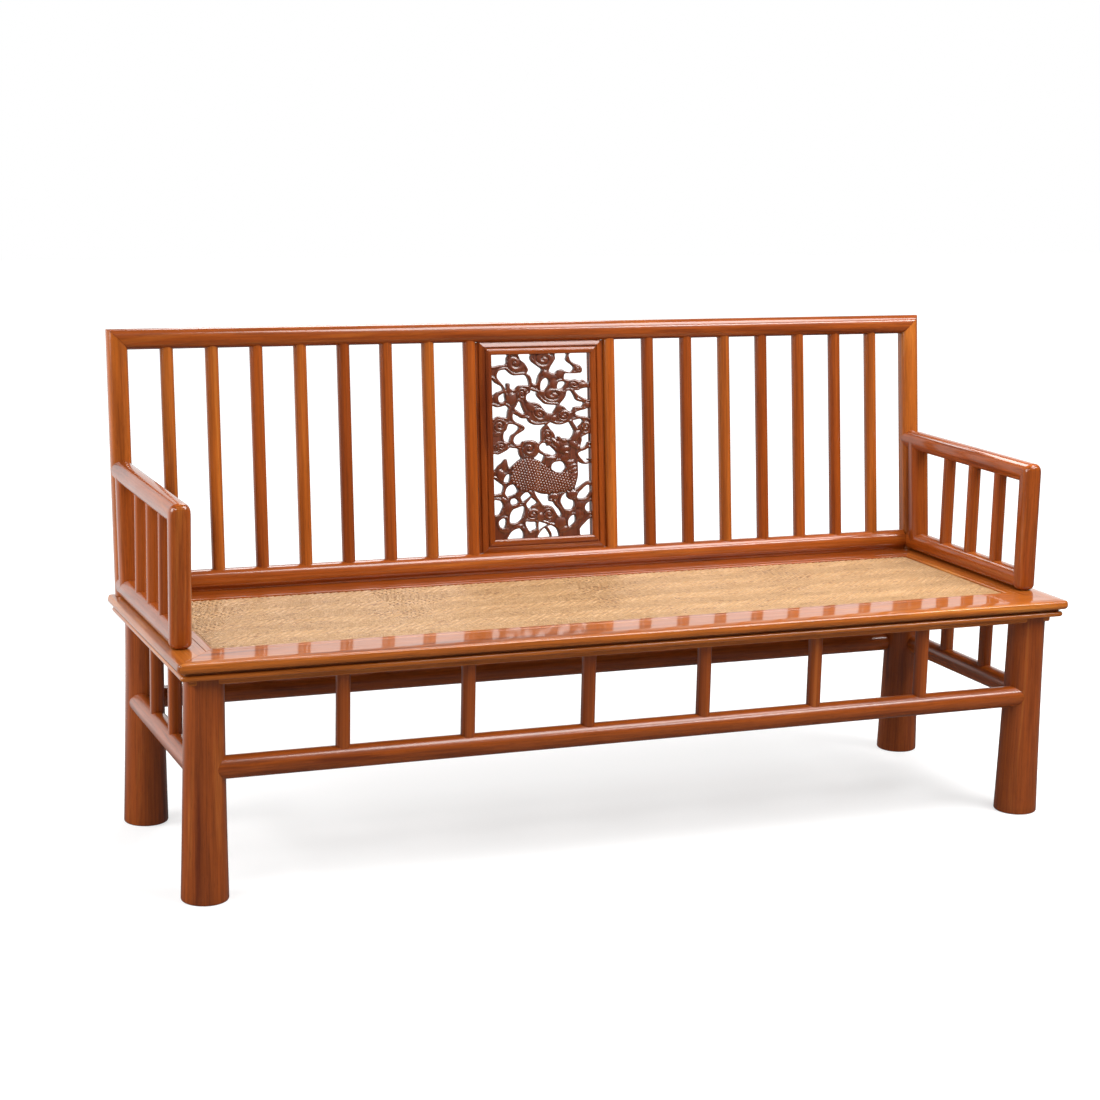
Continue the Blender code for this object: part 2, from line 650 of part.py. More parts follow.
def build_back(bench, rake, joinery, rails):
    """Raked posts and rails, round spindles, and the framed carving."""
    section = rounded_square(MEMBER_HALF, MEMBER_ROUND)

    # Top rail, mitred to the posts
    rings = []
    for end in (-1, 1):
        inner = POST_X - MEMBER_HALF - MITRE_GAP
        rings.append([(end * (inner + b + MEMBER_HALF), a, b) for a, b in section])
    top = add_piece("back_top_rail", loft("top_rail", rings), LACQUER, rake,
                    (0, 0, TOP_RAIL_BOTTOM + MEMBER_HALF))

    # Posts, cut below to the rounded edge of the seat
    seat_edge = [(SEAT_DEPTH / 2 - p, z + GAP) for p, z in edge_profile(1)]
    inside = SEAT_DEPTH / 2 - LONG_RAIL_WIDTH
    below = FRAME_BOTTOM
    outline = [(seat_edge[0][0], below), *seat_edge, (inside, SEAT_HEIGHT + GAP), (inside, below)]
    rings = [[(x, y, z) for y, z in outline] for x in (-SEAT_LENGTH / 2, SEAT_LENGTH / 2)]
    edge_scribe = add_helper("seat_edge_scribe", loft("seat_edge", rings), bench)
    posts = {}
    for name, side in (("left", -1), ("right", 1)):
        foot = [(a, b, -MEMBER_ROUND) for a, b in section]
        head = [(a, b, TOP_RAIL_BOTTOM + MEMBER_HALF + side * a - MITRE_GAP) for a, b in section]
        place = (side * POST_X, 0, 0)
        post = add_piece("back_post_" + name, loft("back_post", [foot, head]), LACQUER, rake, place)
        combine(post, "DIFFERENCE", edge_scribe)
        blind = EDGE_THICKNESS * 0.8
        size = (MEMBER_TENON_SIDE, MEMBER_TENON_SIDE, 2 * blind)
        for host in (rails["back"], rails[name]):
            joinery.mortise(host, rake, place, size)
        joinery.tenons.setdefault((post, rake), []).append((place, size))
        mitre_tenon = (MEMBER_TENON_SIDE, MEMBER_TENON_SIDE, 1.3 * MEMBER_TENON_SIDE)
        joinery.tenon(post, top, rake, (side * POST_X, 0, TOP_RAIL_BOTTOM + MEMBER_HALF), mitre_tenon)
        posts[name] = post

    # Bottom rail, resting on the seat and scribed to the posts behind the arm rails
    rail_middle = BOTTOM_RAIL_TOP - MEMBER_HALF
    rings = []
    for end in (-1, 1):
        ring = []
        for a, b in section:
            seat_level = (GAP + a * RAKE_SIN) / RAKE_COS - rail_middle
            wrap = round_drop(a) if a > 0 else 0
            ring.append((end * (POST_X - MEMBER_HALF + wrap - GAP), a, max(b, seat_level)))
        rings.append(ring)
    bottom = add_piece("back_bottom_rail", loft("bottom_rail", rings, True), LACQUER, rake, (0, 0, rail_middle))
    tenon_size = (2 * MEMBER_TENON_LENGTH, MEMBER_TENON_SIDE, MEMBER_TENON_SIDE)
    for name, side in (("left", -1), ("right", 1)):
        place = (side * (POST_X - MEMBER_HALF), 0, rail_middle)
        joinery.tenon(bottom, posts[name], rake, place, tenon_size)

    # Spindles, evenly spaced from the panel's frame to the posts
    length = TOP_RAIL_BOTTOM - BOTTOM_RAIL_TOP
    spindle = spindle_mesh("back_spindle", length, 1)
    first = PANEL_OUTER_HALF + PANEL_SIDE_PLAY + SPINDLE_RADIUS
    free = POST_X - MEMBER_HALF - first - SPINDLE_RADIUS
    pitch = 2 * SPINDLE_RADIUS + (free - 2 * SPINDLE_RADIUS * (SPINDLES_PER_SIDE - 1)) / SPINDLES_PER_SIDE
    side_places = [first + k * pitch for k in range(SPINDLES_PER_SIDE)]
    places = [-x for x in reversed(side_places)] + side_places
    mortise_size = (SPINDLE_TENON_SIDE, SPINDLE_TENON_SIDE, 2 * SPINDLE_TENON_LENGTH)
    for number, x in enumerate(places, 1):
        add_piece(f"back_spindle_{number:02d}", spindle.copy(), LACQUER, rake, (x, 0, BOTTOM_RAIL_TOP))
        joinery.mortise(bottom, rake, (x, 0, BOTTOM_RAIL_TOP), mortise_size)
        joinery.mortise(top, rake, (x, 0, TOP_RAIL_BOTTOM), mortise_size)

    build_panel(rake, joinery, top, bottom)
    return posts


def panel_frame_profile():
    """Section of the panel's frame: distance in from its outer edge, and depth."""
    face = -PANEL_FRAME_THICKNESS / 2
    bead = PANEL_FRAME_WIDTH - PANEL_BEAD_WIDTH
    crest = face - PANEL_BEAD_RISE
    groove = RIM_THICKNESS / 2 + GAP
    groove_floor = PANEL_FRAME_WIDTH - RIM_TONGUE - GAP
    return [
        (0, face),
        (bead - 0.0015, face),
        (bead - 0.0005, face + 0.002),
        (bead, face),
        (bead + 0.0015, crest),
        (PANEL_FRAME_WIDTH - 0.0025, crest),
        (PANEL_FRAME_WIDTH, face + 0.002),
        (PANEL_FRAME_WIDTH, -groove),
        (groove_floor, -groove),
        (groove_floor, groove),
        (PANEL_FRAME_WIDTH, groove),
        (PANEL_FRAME_WIDTH, -face),
        (0, -face),
    ]


def smooth_path(points, steps):
    """Catmull-Rom curve through the points."""
    points = [Vector(p) for p in points]
    path = []
    for k in range(len(points) - 1):
        before = points[max(k - 1, 0)]
        start = points[k]
        end = points[k + 1]
        after = points[min(k + 2, len(points) - 1)]
        for step in range(steps):
            t = step / steps
            bend = (2 * before - 5 * start + 4 * end - after) * t * t
            twist = (3 * start - before - 3 * end + after) * t ** 3
            path.append((2 * start + (end - before) * t + bend + twist) / 2)
    path.append(points[-1])
    return path


def add_ribbon(bm, path, width, front, back):
    """Band with sloping edges along a path on the drawing."""
    rings = []
    for k, point in enumerate(path):
        ahead = path[min(k + 1, len(path) - 1)] - path[max(k - 1, 0)]
        side = Vector((-ahead.y, ahead.x)).normalized() * width / 2
        ring = []
        for share, depth in ((1, back), (-1, back), (-0.6, front), (0.6, front)):
            place = point + side * share
            ring.append((place.x, depth, place.y))
        rings.append(ring)
    add_loft(bm, rings)


def add_mass(bm, centre, half_sizes, tilt, front, back):
    """Domed oval on the drawing."""
    turn = math.radians(tilt)
    rings = []
    for share, depth in ((1, back), (1, front * 0.45), (0.55, front)):
        ring = []
        for a, b in circle(share, 3):
            x = a * half_sizes[0]
            y = b * half_sizes[1]
            u = centre[0] + x * math.cos(turn) - y * math.sin(turn)
            v = centre[1] + x * math.sin(turn) + y * math.cos(turn)
            ring.append((u, depth, v))
        rings.append(ring)
    add_loft(bm, rings)


def carving_mesh(name):
    """All strokes of the carving, overlapping, scaled from the drawing to the opening."""
    bm = bmesh.new()
    scale_u = PANEL_OPENING_WIDTH / DRAWN_WIDTH
    scale_v = (PANEL_TOP - PANEL_BOTTOM) / DRAWN_HEIGHT
    # Each stroke is cut to a slightly different height, so that crossings stay crisp
    step = 0.00013
    for k, (width, points) in enumerate(RIBBONS):
        front = -RELIEF_FRONT * 0.8 - step * (k % 7)
        add_ribbon(bm, smooth_path(points, 2), width, front, RELIEF_BACK)
    for k, (u, v, half_u, half_v, tilt) in enumerate(MASSES):
        front = -RELIEF_FRONT - step * (k % 9)
        add_mass(bm, (u, v), (half_u, half_v), tilt, front, RELIEF_BACK)
    for vert in bm.verts:
        vert.co.x *= scale_u
        vert.co.z *= scale_v
    return to_mesh(name, bm)


def build_panel(rake, joinery, top, bottom):
    """Mitred frame round the carved openwork board."""
    profile = panel_frame_profile()
    width = 2 * PANEL_OUTER_HALF
    height = PANEL_TOP - PANEL_BOTTOM + 2 * PANEL_FRAME_WIDTH
    middle = (PANEL_TOP + PANEL_BOTTOM) / 2
    for name, turn, run, depth in (
        ("top", math.pi, width, height),
        ("bottom", 0, width, height),
        ("left", math.pi / 2, height, width),
        ("right", -math.pi / 2, height, width),
    ):
        rings = []
        for end in (-1, 1):
            reach = [end * (run / 2 - inward - MITRE_GAP) for inward, _ in profile]
            rings.append([(x, y, inward - depth / 2) for x, (inward, y) in zip(reach, profile)])
        mesh = loft("panel_frame", rings)
        member = add_piece("panel_frame_" + name, mesh, LACQUER, rake, (0, 0, middle), (0, turn, 0))
        if name in ("top", "bottom"):
            host = top if name == "top" else bottom
            edge = middle + (height / 2 if name == "top" else -height / 2)
            size = (3 * PANEL_TENON_SIDE, PANEL_TENON_SIDE, 2 * PANEL_TENON_LENGTH)
            for x in (-PANEL_HALF / 2, PANEL_HALF / 2):
                joinery.tenon(member, host, rake, (x, 0, edge), size)

    # Board: the strokes inside the opening, joined to a thin rim held in the frame's groove
    opening = (2 * (PANEL_HALF - GAP), 4 * RELIEF_FRONT, PANEL_TOP - PANEL_BOTTOM - 2 * GAP)
    blank = box_mesh("carved_board", [((0, 0, 0), opening)])
    panel = add_piece("carved_panel", blank, CARVED_LACQUER, rake, (0, 0, middle))
    strokes = add_helper("carved_strokes", carving_mesh("carved_strokes"), rake, (0, 0, middle))
    combine(panel, "INTERSECT", strokes).use_self = True
    bm = bmesh.new()
    rows = []
    for su, sv in ((1, 1), (-1, 1), (-1, -1), (1, -1)):
        row = []
        for out, depth in ((RIM_TONGUE, 1), (RIM_TONGUE, -1), (-RIM_SHOW, -1), (-RIM_SHOW, 1)):
            u = su * (PANEL_HALF + out)
            v = sv * ((PANEL_TOP - PANEL_BOTTOM) / 2 + out)
            row.append(bm.verts.new((u, depth * RIM_THICKNESS / 2, v)))
        rows.append(row)
    add_sides(bm, rows, True)
    combine(panel, "UNION", add_helper("carved_rim", to_mesh("carved_rim", bm), rake, (0, 0, middle)))
    plain = panel.modifiers.new("merge_flat_faces", "DECIMATE")
    plain.decimate_type = "DISSOLVE"
    plain.angle_limit = math.radians(3)


def arm_corner_rings(section):
    """Rings up to a mitred and rounded corner: distance before the mitre, and how far the outside is eased."""
    rings = []
    for before, ease in ((1.0, 0.0), (0.45, 0.16), (0.0, 0.293)):
        ring = []
        for a, b in section:
            outward = (b + MEMBER_HALF) / MEMBER
            ring.append((a, b, before * ARM_CORNER_ROUND, ease * ARM_CORNER_ROUND * outward))
        rings.append(ring)
    return rings


def build_arms(bench, rake, joinery, rails, posts):
    """Arm rails and posts with their spindles, the same on both sides."""
    section = rounded_square(MEMBER_HALF, MEMBER_ROUND)
    rail_middle = ARM_RAIL_BOTTOM + MEMBER_HALF

    def back_end(a, height):
        """Where a level piece meets the rounded front of the raked back post."""
        depth = -(MEMBER_HALF - round_drop(a)) - GAP
        return BACK_Y + height * RAKE_TAN + depth / RAKE_COS

    # Top rail: rounded mitre in front, scribed to the back post behind
    top_rings = []
    for ring in reversed(arm_corner_rings(section)):
        top_rings.append([
            (a, ARM_FRONT_Y - b + before + ease + MITRE_GAP, rail_middle + b - ease) for a, b, before, ease in ring
        ])
    top_rings.append([(a, back_end(a, rail_middle + b), rail_middle + b) for a, b in section])

    # Front post: the other half of that mitre
    post_rings = [[(a, -b, GAP) for a, b in section]]
    for ring in arm_corner_rings(section):
        post_rings.append([
            (a, -b + ease, rail_middle + b - before - ease - MITRE_GAP) for a, b, before, ease in ring
        ])

    # Bottom rail between the front post and the back post
    low_rings = [
        [(a, ARM_FRONT_Y + MEMBER_HALF - round_drop(a) + GAP, MEMBER_HALF + GAP + b) for a, b in section],
        [(a, back_end(a, MEMBER_HALF + GAP + b), MEMBER_HALF + GAP + b) for a, b in section],
    ]

    # Back post of the arm, raked with the back
    low_top = MEMBER + GAP
    rear_depth = -MEMBER - GAP
    rear_rings = []
    for level, sign in ((low_top, -1), (ARM_RAIL_BOTTOM, 1)):
        rear_rings.append([
            (a, b, (level + sign * (round_drop(a) - GAP) + (b + rear_depth) * RAKE_SIN) / RAKE_COS)
            for a, b in section
        ])

    spindle = spindle_mesh("arm_spindle", ARM_RAIL_BOTTOM - low_top, 0)
    side = MEMBER_TENON_SIDE
    long = MEMBER_TENON_LENGTH
    for name, x in (("left", -POST_X), ("right", POST_X)):
        arm = add_frame("arm_" + name, bench, (x, 0, SEAT_HEIGHT))
        prefix = f"arm_{name}_"
        top = add_piece(prefix + "top_rail", loft("arm_top_rail", top_rings, True), LACQUER, arm)
        low = add_piece(prefix + "bottom_rail", loft("arm_bottom_rail", low_rings, True), LACQUER, arm)
        front = add_piece(prefix + "front_post", loft("arm_front_post", post_rings), LACQUER, arm,
                          (0, ARM_FRONT_Y, 0))
        rear = add_piece(prefix + "back_post", loft("arm_back_post", rear_rings, True), LACQUER, rake,
                         (x, rear_depth, 0))

        # Joints of the two rails and two posts
        back_post = posts[name]
        joinery.tenon(front, rails[name], arm, (0, ARM_FRONT_Y, 0), (side, side, 1.6 * EDGE_THICKNESS))
        joinery.tenon(front, top, arm, (0, ARM_FRONT_Y, rail_middle), (side, side, 1.3 * side))
        joinery.tenon(low, front, arm, (0, ARM_FRONT_Y + MEMBER_HALF, MEMBER_HALF), (side, 2 * long, side))
        joinery.tenon(low, back_post, arm, (0, back_end(0, MEMBER_HALF), MEMBER_HALF), (side, 1.5 * long, side))
        joinery.tenon(top, back_post, arm, (0, back_end(0, rail_middle), rail_middle), (side, 1.5 * long, side))
        for level, host in ((low_top, low), (ARM_RAIL_BOTTOM, top)):
            v = (level + rear_depth * RAKE_SIN) / RAKE_COS
            joinery.tenon(rear, host, rake, (x, rear_depth, v), (side, side, 1.4 * long))

        mortise_size = (SPINDLE_TENON_SIDE, SPINDLE_TENON_SIDE, 2 * SPINDLE_TENON_LENGTH)
        for k in range(ARM_SPINDLE_COUNT):
            y = ARM_FRONT_Y + ARM_SPINDLE_FIRST + k * ARM_SPINDLE_PITCH
            add_piece(f"{prefix}spindle_{k + 1}", spindle.copy(), LACQUER, arm, (0, y, low_top))
            joinery.mortise(low, arm, (0, y, low_top), mortise_size)
            joinery.mortise(top, arm, (0, y, ARM_RAIL_BOTTOM), mortise_size)


def main():
    clear_scene()
    joinery = Joinery()
    bench = add_frame("bench", location=(0, BENCH_Y, 0))
    rake = add_frame("back_rake", bench, (0, BACK_Y, SEAT_HEIGHT), (-BACK_RAKE, 0, 0))
    rails = build_seat(bench, joinery)
    build_base(bench, joinery, rails)
    posts = build_back(bench, rake, joinery, rails)
    build_arms(bench, rake, joinery, rails, posts)
    bpy.context.view_layer.update()
    joinery.make()


main()
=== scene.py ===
"""Settee bench in glossy red-brown lacquer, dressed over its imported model.

The file is laid out as an add-on: sizes and finishes are properties, each group of pieces has
an operator, and main() runs them in order. Lengths are metres, +Z is up, +X runs along the
bench, and the bench faces -Y.
"""

import math
import zlib
from functools import partialmethod
from types import SimpleNamespace

import bmesh
import bpy
import numpy as np
from bpy.props import FloatProperty, FloatVectorProperty, IntProperty, PointerProperty
from mathutils import Matrix, Vector, geometry, kdtree


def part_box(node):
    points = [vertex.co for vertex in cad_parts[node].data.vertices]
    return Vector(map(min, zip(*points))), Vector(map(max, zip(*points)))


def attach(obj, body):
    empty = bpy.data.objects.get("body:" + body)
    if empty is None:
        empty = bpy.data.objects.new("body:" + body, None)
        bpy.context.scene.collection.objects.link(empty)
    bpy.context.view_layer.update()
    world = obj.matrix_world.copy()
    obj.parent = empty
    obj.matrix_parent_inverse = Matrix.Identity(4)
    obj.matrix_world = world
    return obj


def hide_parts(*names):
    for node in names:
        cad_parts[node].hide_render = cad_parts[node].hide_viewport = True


bl_info = {
    "name": "Settee bench",
    "version": (1, 0, 0),
    "blender": (4, 5, 0),
    "location": "3D View > Sidebar > Bench",
    "description": "Lacquered settee with a cane seat, spindle back and carved openwork panel",
    "category": "Add Mesh",
}

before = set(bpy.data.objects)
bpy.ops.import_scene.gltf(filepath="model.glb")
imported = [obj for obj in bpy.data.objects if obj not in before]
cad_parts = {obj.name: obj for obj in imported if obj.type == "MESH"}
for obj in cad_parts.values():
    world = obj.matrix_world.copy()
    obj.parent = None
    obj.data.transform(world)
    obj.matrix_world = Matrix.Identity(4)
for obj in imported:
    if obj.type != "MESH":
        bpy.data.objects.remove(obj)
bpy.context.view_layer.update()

# Fineness of the meshes
MEMBER_SIDES = 56
ROUND_SIDES = 64
UPRIGHT_SIDES = 40
SMOOTH_ANGLE = math.radians(32)
CARVED_ANGLE = math.radians(50)
EASE = 0.00025
EASE_SUPPORT = 8 * EASE
FOOT_STEPS = 5
LEG_STEPS = 20
WHITE = (1, 1, 1, 1)

# Roughness of each lacquer, as a multiple of the lacquer blur
LACQUERS = {
    "red_brown_lacquer": 1.0,
    "satin_lacquer": 2.0,
    "worn_lacquer": 3.0,
    "carved_lacquer": 1.2,
}
# Fineness of the lacquered wood's features along the grain and across it
FIGURE = (2.2, 30, 30)
STREAKS = (8, 260, 260)
PORES = (55, 1500, 1500)
WEAR = (9, 40, 40)
# Fineness of the cane's features along the bench, across it and upwards
CANE_STREAKS = (14, 60, 60)
CANE_FLECKS = (260, 420, 420)
CANE_FIBRES = (900, 900, 900)
# Darkest and lightest tone of the timber in each group of pieces. The seat's light tones are partly
# painted light on its lit top, and the dark tones of the legs and struts partly painted shade under the
# seat
TONES = {
    "plain": (0.1, 0.6),
    "seat": (0.85, 1.0),
    "seat_back": (0.3, 0.5),
    "leg": (0.0, 0.3),
    "stretcher": (0.1, 0.4),
    "strut": (0.0, 0.25),
    "spindle": (0.0, 0.9),
    "back_post": (0.7, 0.9),
    "panel_frame": (0.0, 0.15),
    "mat": (0.0, 0.0),
}
# Choices for where a piece's grain is cut, along three axes in even steps, and for its tone
TIMBER_CHOICES = (97, 89, 83, 100)
TIMBER_STEP = 0.11
# Softboxes: name, place, aim, width, height and power in watts
SOFTBOXES = (
    ("right_softbox", (1.9, -2.0, 2.3), (0, 0, 0.5), 1.8, 0.3, 45),
    ("top_softbox", (1.2, -1.1, 3.0), (0.2, -0.1, 0.5), 2.4, 1.2, 100),
    ("left_softbox", (-3.2, -2.1, 2.4), (0, 0, 0.5), 1.2, 0.5, 25),
    ("left_fill", (-3.2, 0.3, 1.7), (0, 0, 0.5), 1.5, 1.5, 60),
    ("back_softbox", (0.6, 2.4, 3.0), (0, 0, 0.3), 1.5, 1.5, 50),
)

# Openings sawn through the carved board, in millimetres on the drawing, from the top left
OPENINGS = (
    ((-108, 188), (-73, 188), (-74, 180), (-74, 172), (-78, 168), (-90, 167), (-108, 166)),
    ((-90, 156), (-79, 158), (-74, 157), (-66, 150), (-58, 146), (-47, 146), (-34, 146), (-29, 141),
    (-26, 133), (-26, 124), (-34, 125), (-46, 125), (-52, 122), (-57, 117), (-64, 117), (-68, 121),
    (-68, 129), (-75, 129), (-75, 121), (-77, 116), (-80, 123), (-84, 128), (-90, 135), (-95, 142),
    (-95, 149)),
    ((-108, 139), (-99, 132), (-92, 128), (-85, 124), (-83, 117), (-87, 115), (-96, 112), (-102, 108),
    (-108, 106)),
    ((-80, 110), (-88, 107), (-93, 103), (-93, 96), (-89, 92), (-82, 92), (-78, 96), (-79, 103)),
    ((-108, 84), (-95, 82), (-83, 84), (-77, 85), (-71, 80), (-73, 73), (-74, 65), (-76, 60), (-87, 62),
    (-95, 63), (-108, 60)),
    ((-49, 93), (-44, 90), (-42, 83), (-38, 74), (-36, 68), (-42, 67), (-51, 73), (-58, 78), (-55, 83)),
    ((-47, 188), (-46, 182), (-44, 177), (-35, 170), (-30, 163), (-27, 156), (-30, 149), (-24, 145),
    (-20, 137), (-19, 130), (-14, 127), (-9, 128), (-7, 135), (-4, 144), (1, 151), (3, 157), (-3, 162),
    (-13, 169), (-19, 174), (-22, 181), (-22, 188)),
    ((6, 137), (13, 139), (18, 135), (18, 126), (14, 119), (8, 114), (1, 114), (-1, 119), (0, 129),
    (3, 134)),
    ((34, 188), (33, 178), (28, 170), (23, 163), (19, 155), (19, 152), (26, 148), (33, 149), (40, 154),
    (48, 155), (55, 151), (65, 149), (72, 153), (74, 159), (69, 165), (62, 170), (57, 176), (58, 188)),
    ((67, 188), (65, 177), (69, 171), (78, 166), (87, 163), (92, 156), (91, 149), (84, 147), (69, 147),
    (55, 147), (52, 142), (52, 136), (60, 134), (68, 133), (77, 134), (87, 131), (94, 133), (108, 129),
    (108, 188)),
    ((39, 129), (46, 131), (54, 130), (55, 126), (50, 119), (44, 116), (37, 116), (36, 122)),
    ((-22, 115), (-14, 112), (-9, 111), (-9, 105), (-5, 99), (3, 91), (10, 86), (21, 84), (32, 83),
    (35, 82), (33, 77), (28, 70), (25, 66), (12, 68), (9, 70), (2, 79), (-6, 87), (-24, 91), (-31, 94),
    (-33, 100), (-31, 106), (-24, 110)),
    ((58, 111), (67, 111), (71, 106), (74, 101), (78, 93), (86, 89), (94, 87), (94, 83), (90, 78),
    (82, 78), (73, 77), (70, 72), (65, 68), (57, 72), (52, 78), (46, 81), (41, 83), (44, 88), (49, 93),
    (54, 100), (56, 106)),
    ((75, 112), (84, 112), (90, 115), (108, 115), (108, 92), (99, 94), (91, 97), (82, 103), (77, 108)),
    ((77, 67), (86, 70), (96, 72), (108, 74), (108, 54), (102, 56), (91, 58), (81, 60), (76, 63)),
    ((70, 50), (79, 52), (88, 53), (92, 49), (89, 43), (84, 39), (79, 35), (75, 40), (71, 46)),
    ((-73, 46), (-67, 47), (-59, 46), (-51, 42), (-50, 39), (-52, 34), (-59, 28), (-66, 24), (-69, 19),
    (-72, 11), (-78, 11), (-82, 13), (-84, 18), (-84, 25), (-82, 31), (-77, 36)),
    ((-62, 67), (-58, 67), (-49, 62), (-42, 58), (-31, 57), (-29, 53), (-24, 48), (-15, 44), (-5, 43),
    (8, 44), (9, 42), (4, 38), (0, 33), (-1, 25), (-1, 15), (-1, 10), (-7, 6), (-16, 11), (-25, 13),
    (-34, 12), (-42, 10), (-46, 6), (-55, 5), (-60, 8), (-62, 12), (-61, 18), (-56, 24), (-47, 29),
    (-40, 33), (-37, 37), (-39, 42), (-46, 46), (-55, 50), (-61, 55), (-63, 61)),
    ((13, 43), (20, 48), (26, 46), (35, 43), (46, 43), (56, 46), (62, 47), (66, 41), (71, 32), (72, 28),
    (70, 21), (66, 15), (62, 12), (54, 13), (46, 14), (43, 14), (40, 18), (36, 18), (33, 15), (30, 16),
    (29, 21), (25, 28), (19, 34), (16, 39)),
    ((89, 15), (97, 19), (108, 22), (108, 6), (102, 4), (99, -2), (92, -6), (85, -7), (87, 2), (89, 9)),
    ((-108, -15), (-95, -14), (-85, -10), (-77, -6), (-70, -1), (-63, -2), (-52, -4), (-51, -10),
    (-49, -17), (-46, -24), (-53, -29), (-61, -35), (-68, -41), (-72, -43), (-75, -38), (-77, -30),
    (-78, -25), (-82, -25), (-89, -32), (-97, -38), (-102, -44), (-108, -46)),
    ((-4, 2), (2, 6), (10, 5), (12, 0), (18, 0), (23, -4), (28, -9), (32, -14), (31, -18), (23, -20),
    (14, -17), (6, -15), (0, -11), (-5, -7), (-6, -2)),
    ((-7, -13), (0, -17), (5, -20), (3, -26), (-1, -33), (-7, -30), (-18, -25), (-14, -21), (-9, -16)),
    ((22, -38), (29, -34), (41, -33), (48, -36), (52, -43), (51, -49), (44, -55), (34, -56), (25, -52),
    (20, -47)),
    ((79, -34), (84, -37), (91, -40), (100, -41), (108, -40), (108, -75), (101, -76), (92, -81), (82, -87),
    (72, -91), (73, -83), (77, -72), (79, -61), (79, -49)),
    ((80, -19), (85, -15), (95, -12), (108, -8), (108, -29), (101, -30), (102, -33), (108, -35), (96, -37),
    (90, -32), (85, -27)),
    ((-78, -56), (-72, -55), (-71, -59), (-72, -65), (-74, -71), (-80, -72), (-85, -70), (-85, -66),
    (-83, -61)),
    ((-108, -64), (-98, -69), (-91, -74), (-86, -78), (-87, -86), (-90, -93), (-96, -94), (-108, -93)),
    ((-69, -77), (-63, -77), (-58, -82), (-55, -89), (-57, -94), (-63, -97), (-72, -100), (-77, -102),
    (-81, -98), (-83, -94), (-81, -87), (-79, -83), (-75, -79)),
    ((-70, -107), (-63, -105), (-57, -107), (-54, -111), (-56, -116), (-63, -118), (-69, -118),
    (-72, -113)),
    ((-108, -109), (-96, -108), (-90, -111), (-87, -119), (-90, -126), (-96, -136), (-108, -135)),
    ((-66, -128), (-57, -125), (-47, -122), (-41, -123), (-41, -131), (-44, -140), (-48, -149),
    (-57, -155), (-66, -156), (-73, -154), (-74, -146), (-72, -136)),
    ((-34, -93), (-27, -98), (-26, -102), (-31, -106), (-39, -111), (-45, -113), (-48, -107), (-49, -103),
    (-43, -97)),
    ((-25, -105), (-19, -109), (-13, -115), (-16, -119), (-23, -122), (-28, -127), (-33, -126),
    (-37, -118), (-31, -111)),
    ((-18, -92), (-8, -96), (2, -99), (13, -100), (13, -106), (15, -114), (23, -116), (29, -124),
    (37, -133), (41, -142), (38, -146), (32, -144), (27, -136), (21, -127), (13, -123), (4, -122),
    (-1, -121), (-7, -113), (-14, -103)),
    ((47, -101), (53, -97), (54, -106), (60, -112), (68, -115), (70, -120), (68, -128), (63, -133),
    (52, -133), (47, -131), (42, -123), (39, -115), (42, -106)),
    ((94, -87), (101, -84), (108, -87), (108, -94), (103, -103), (96, -110), (85, -112), (78, -111),
    (76, -107), (80, -99), (87, -93)),
    ((108, -118), (100, -121), (95, -125), (93, -132), (97, -138), (108, -140), (108, -138)),
    ((62, -147), (70, -145), (72, -151), (71, -159), (65, -165), (57, -169), (55, -163), (56, -154)),
    ((108, -154), (100, -156), (93, -162), (86, -168), (81, -174), (81, -180), (84, -188), (108, -188)),
    ((-88, -145), (-82, -147), (-82, -155), (-85, -164), (-92, -164), (-97, -159), (-98, -152),
    (-93, -147)),
    ((-65, -170), (-53, -167), (-48, -170), (-44, -177), (-45, -188), (-50, -188), (-78, -188),
    (-77, -182), (-72, -175)),
    ((-38, -154), (-27, -155), (-16, -156), (-15, -162), (-15, -169), (-22, -172), (-30, -175),
    (-36, -167), (-39, -160)),
    ((-10, -156), (-3, -157), (10, -162), (4, -166), (-5, -171), (-10, -174), (-11, -166)),
    ((4, -169), (10, -176), (14, -183), (14, -188), (0, -188), (-13, -188), (-10, -180), (-3, -172)),
    ((9, -166), (17, -164), (26, -168), (32, -175), (35, -188), (31, -188), (19, -188), (17, -180),
    (12, -171)),
)
# Outline of the beast's scaled body
BODY_OUTLINE = (
    (-71, -50), (-67, -41), (-60, -34), (-51, -28), (-41, -25), (-27, -25), (-15, -27), (-7, -30),
    (2, -37), (12, -44), (20, -51), (28, -56), (39, -58), (48, -55), (54, -51), (61, -54), (66, -62),
    (72, -72), (74, -82), (70, -90), (58, -94), (43, -97), (26, -100), (12, -99), (-2, -98), (-15, -94),
    (-25, -90), (-36, -93), (-48, -89), (-55, -86), (-61, -78), (-68, -73), (-71, -64),
)
# Spirals cut in the clouds: centre, half width, half height, tilt in degrees, way they wind
SPIRALS = (
    (-56, 171, 24, 21, -30, 1), (7, 177, 24, 19, -10, -1), (27, 104, 26, 16, -4, -1),
    (-42, 107, 13, 13, 0, 1), (-4, 66, 21, 14, -33, -1), (50, 61, 16, 13, 0, -1), (73, 124, 16, 9, -8, 1),
    (-92, 44, 17, 15, 0, 1), (-90, 2, 16, 10, 0, 1), (98, 35, 13, 14, 0, -1), (14, 21, 11, 12, 25, 1),
    (-29, -5, 21, 18, 0, 1), (-23, -139, 16, 13, 0, -1), (12, -141, 16, 14, 0, 1), (82, 155, 9, 7, 0, 1),
)
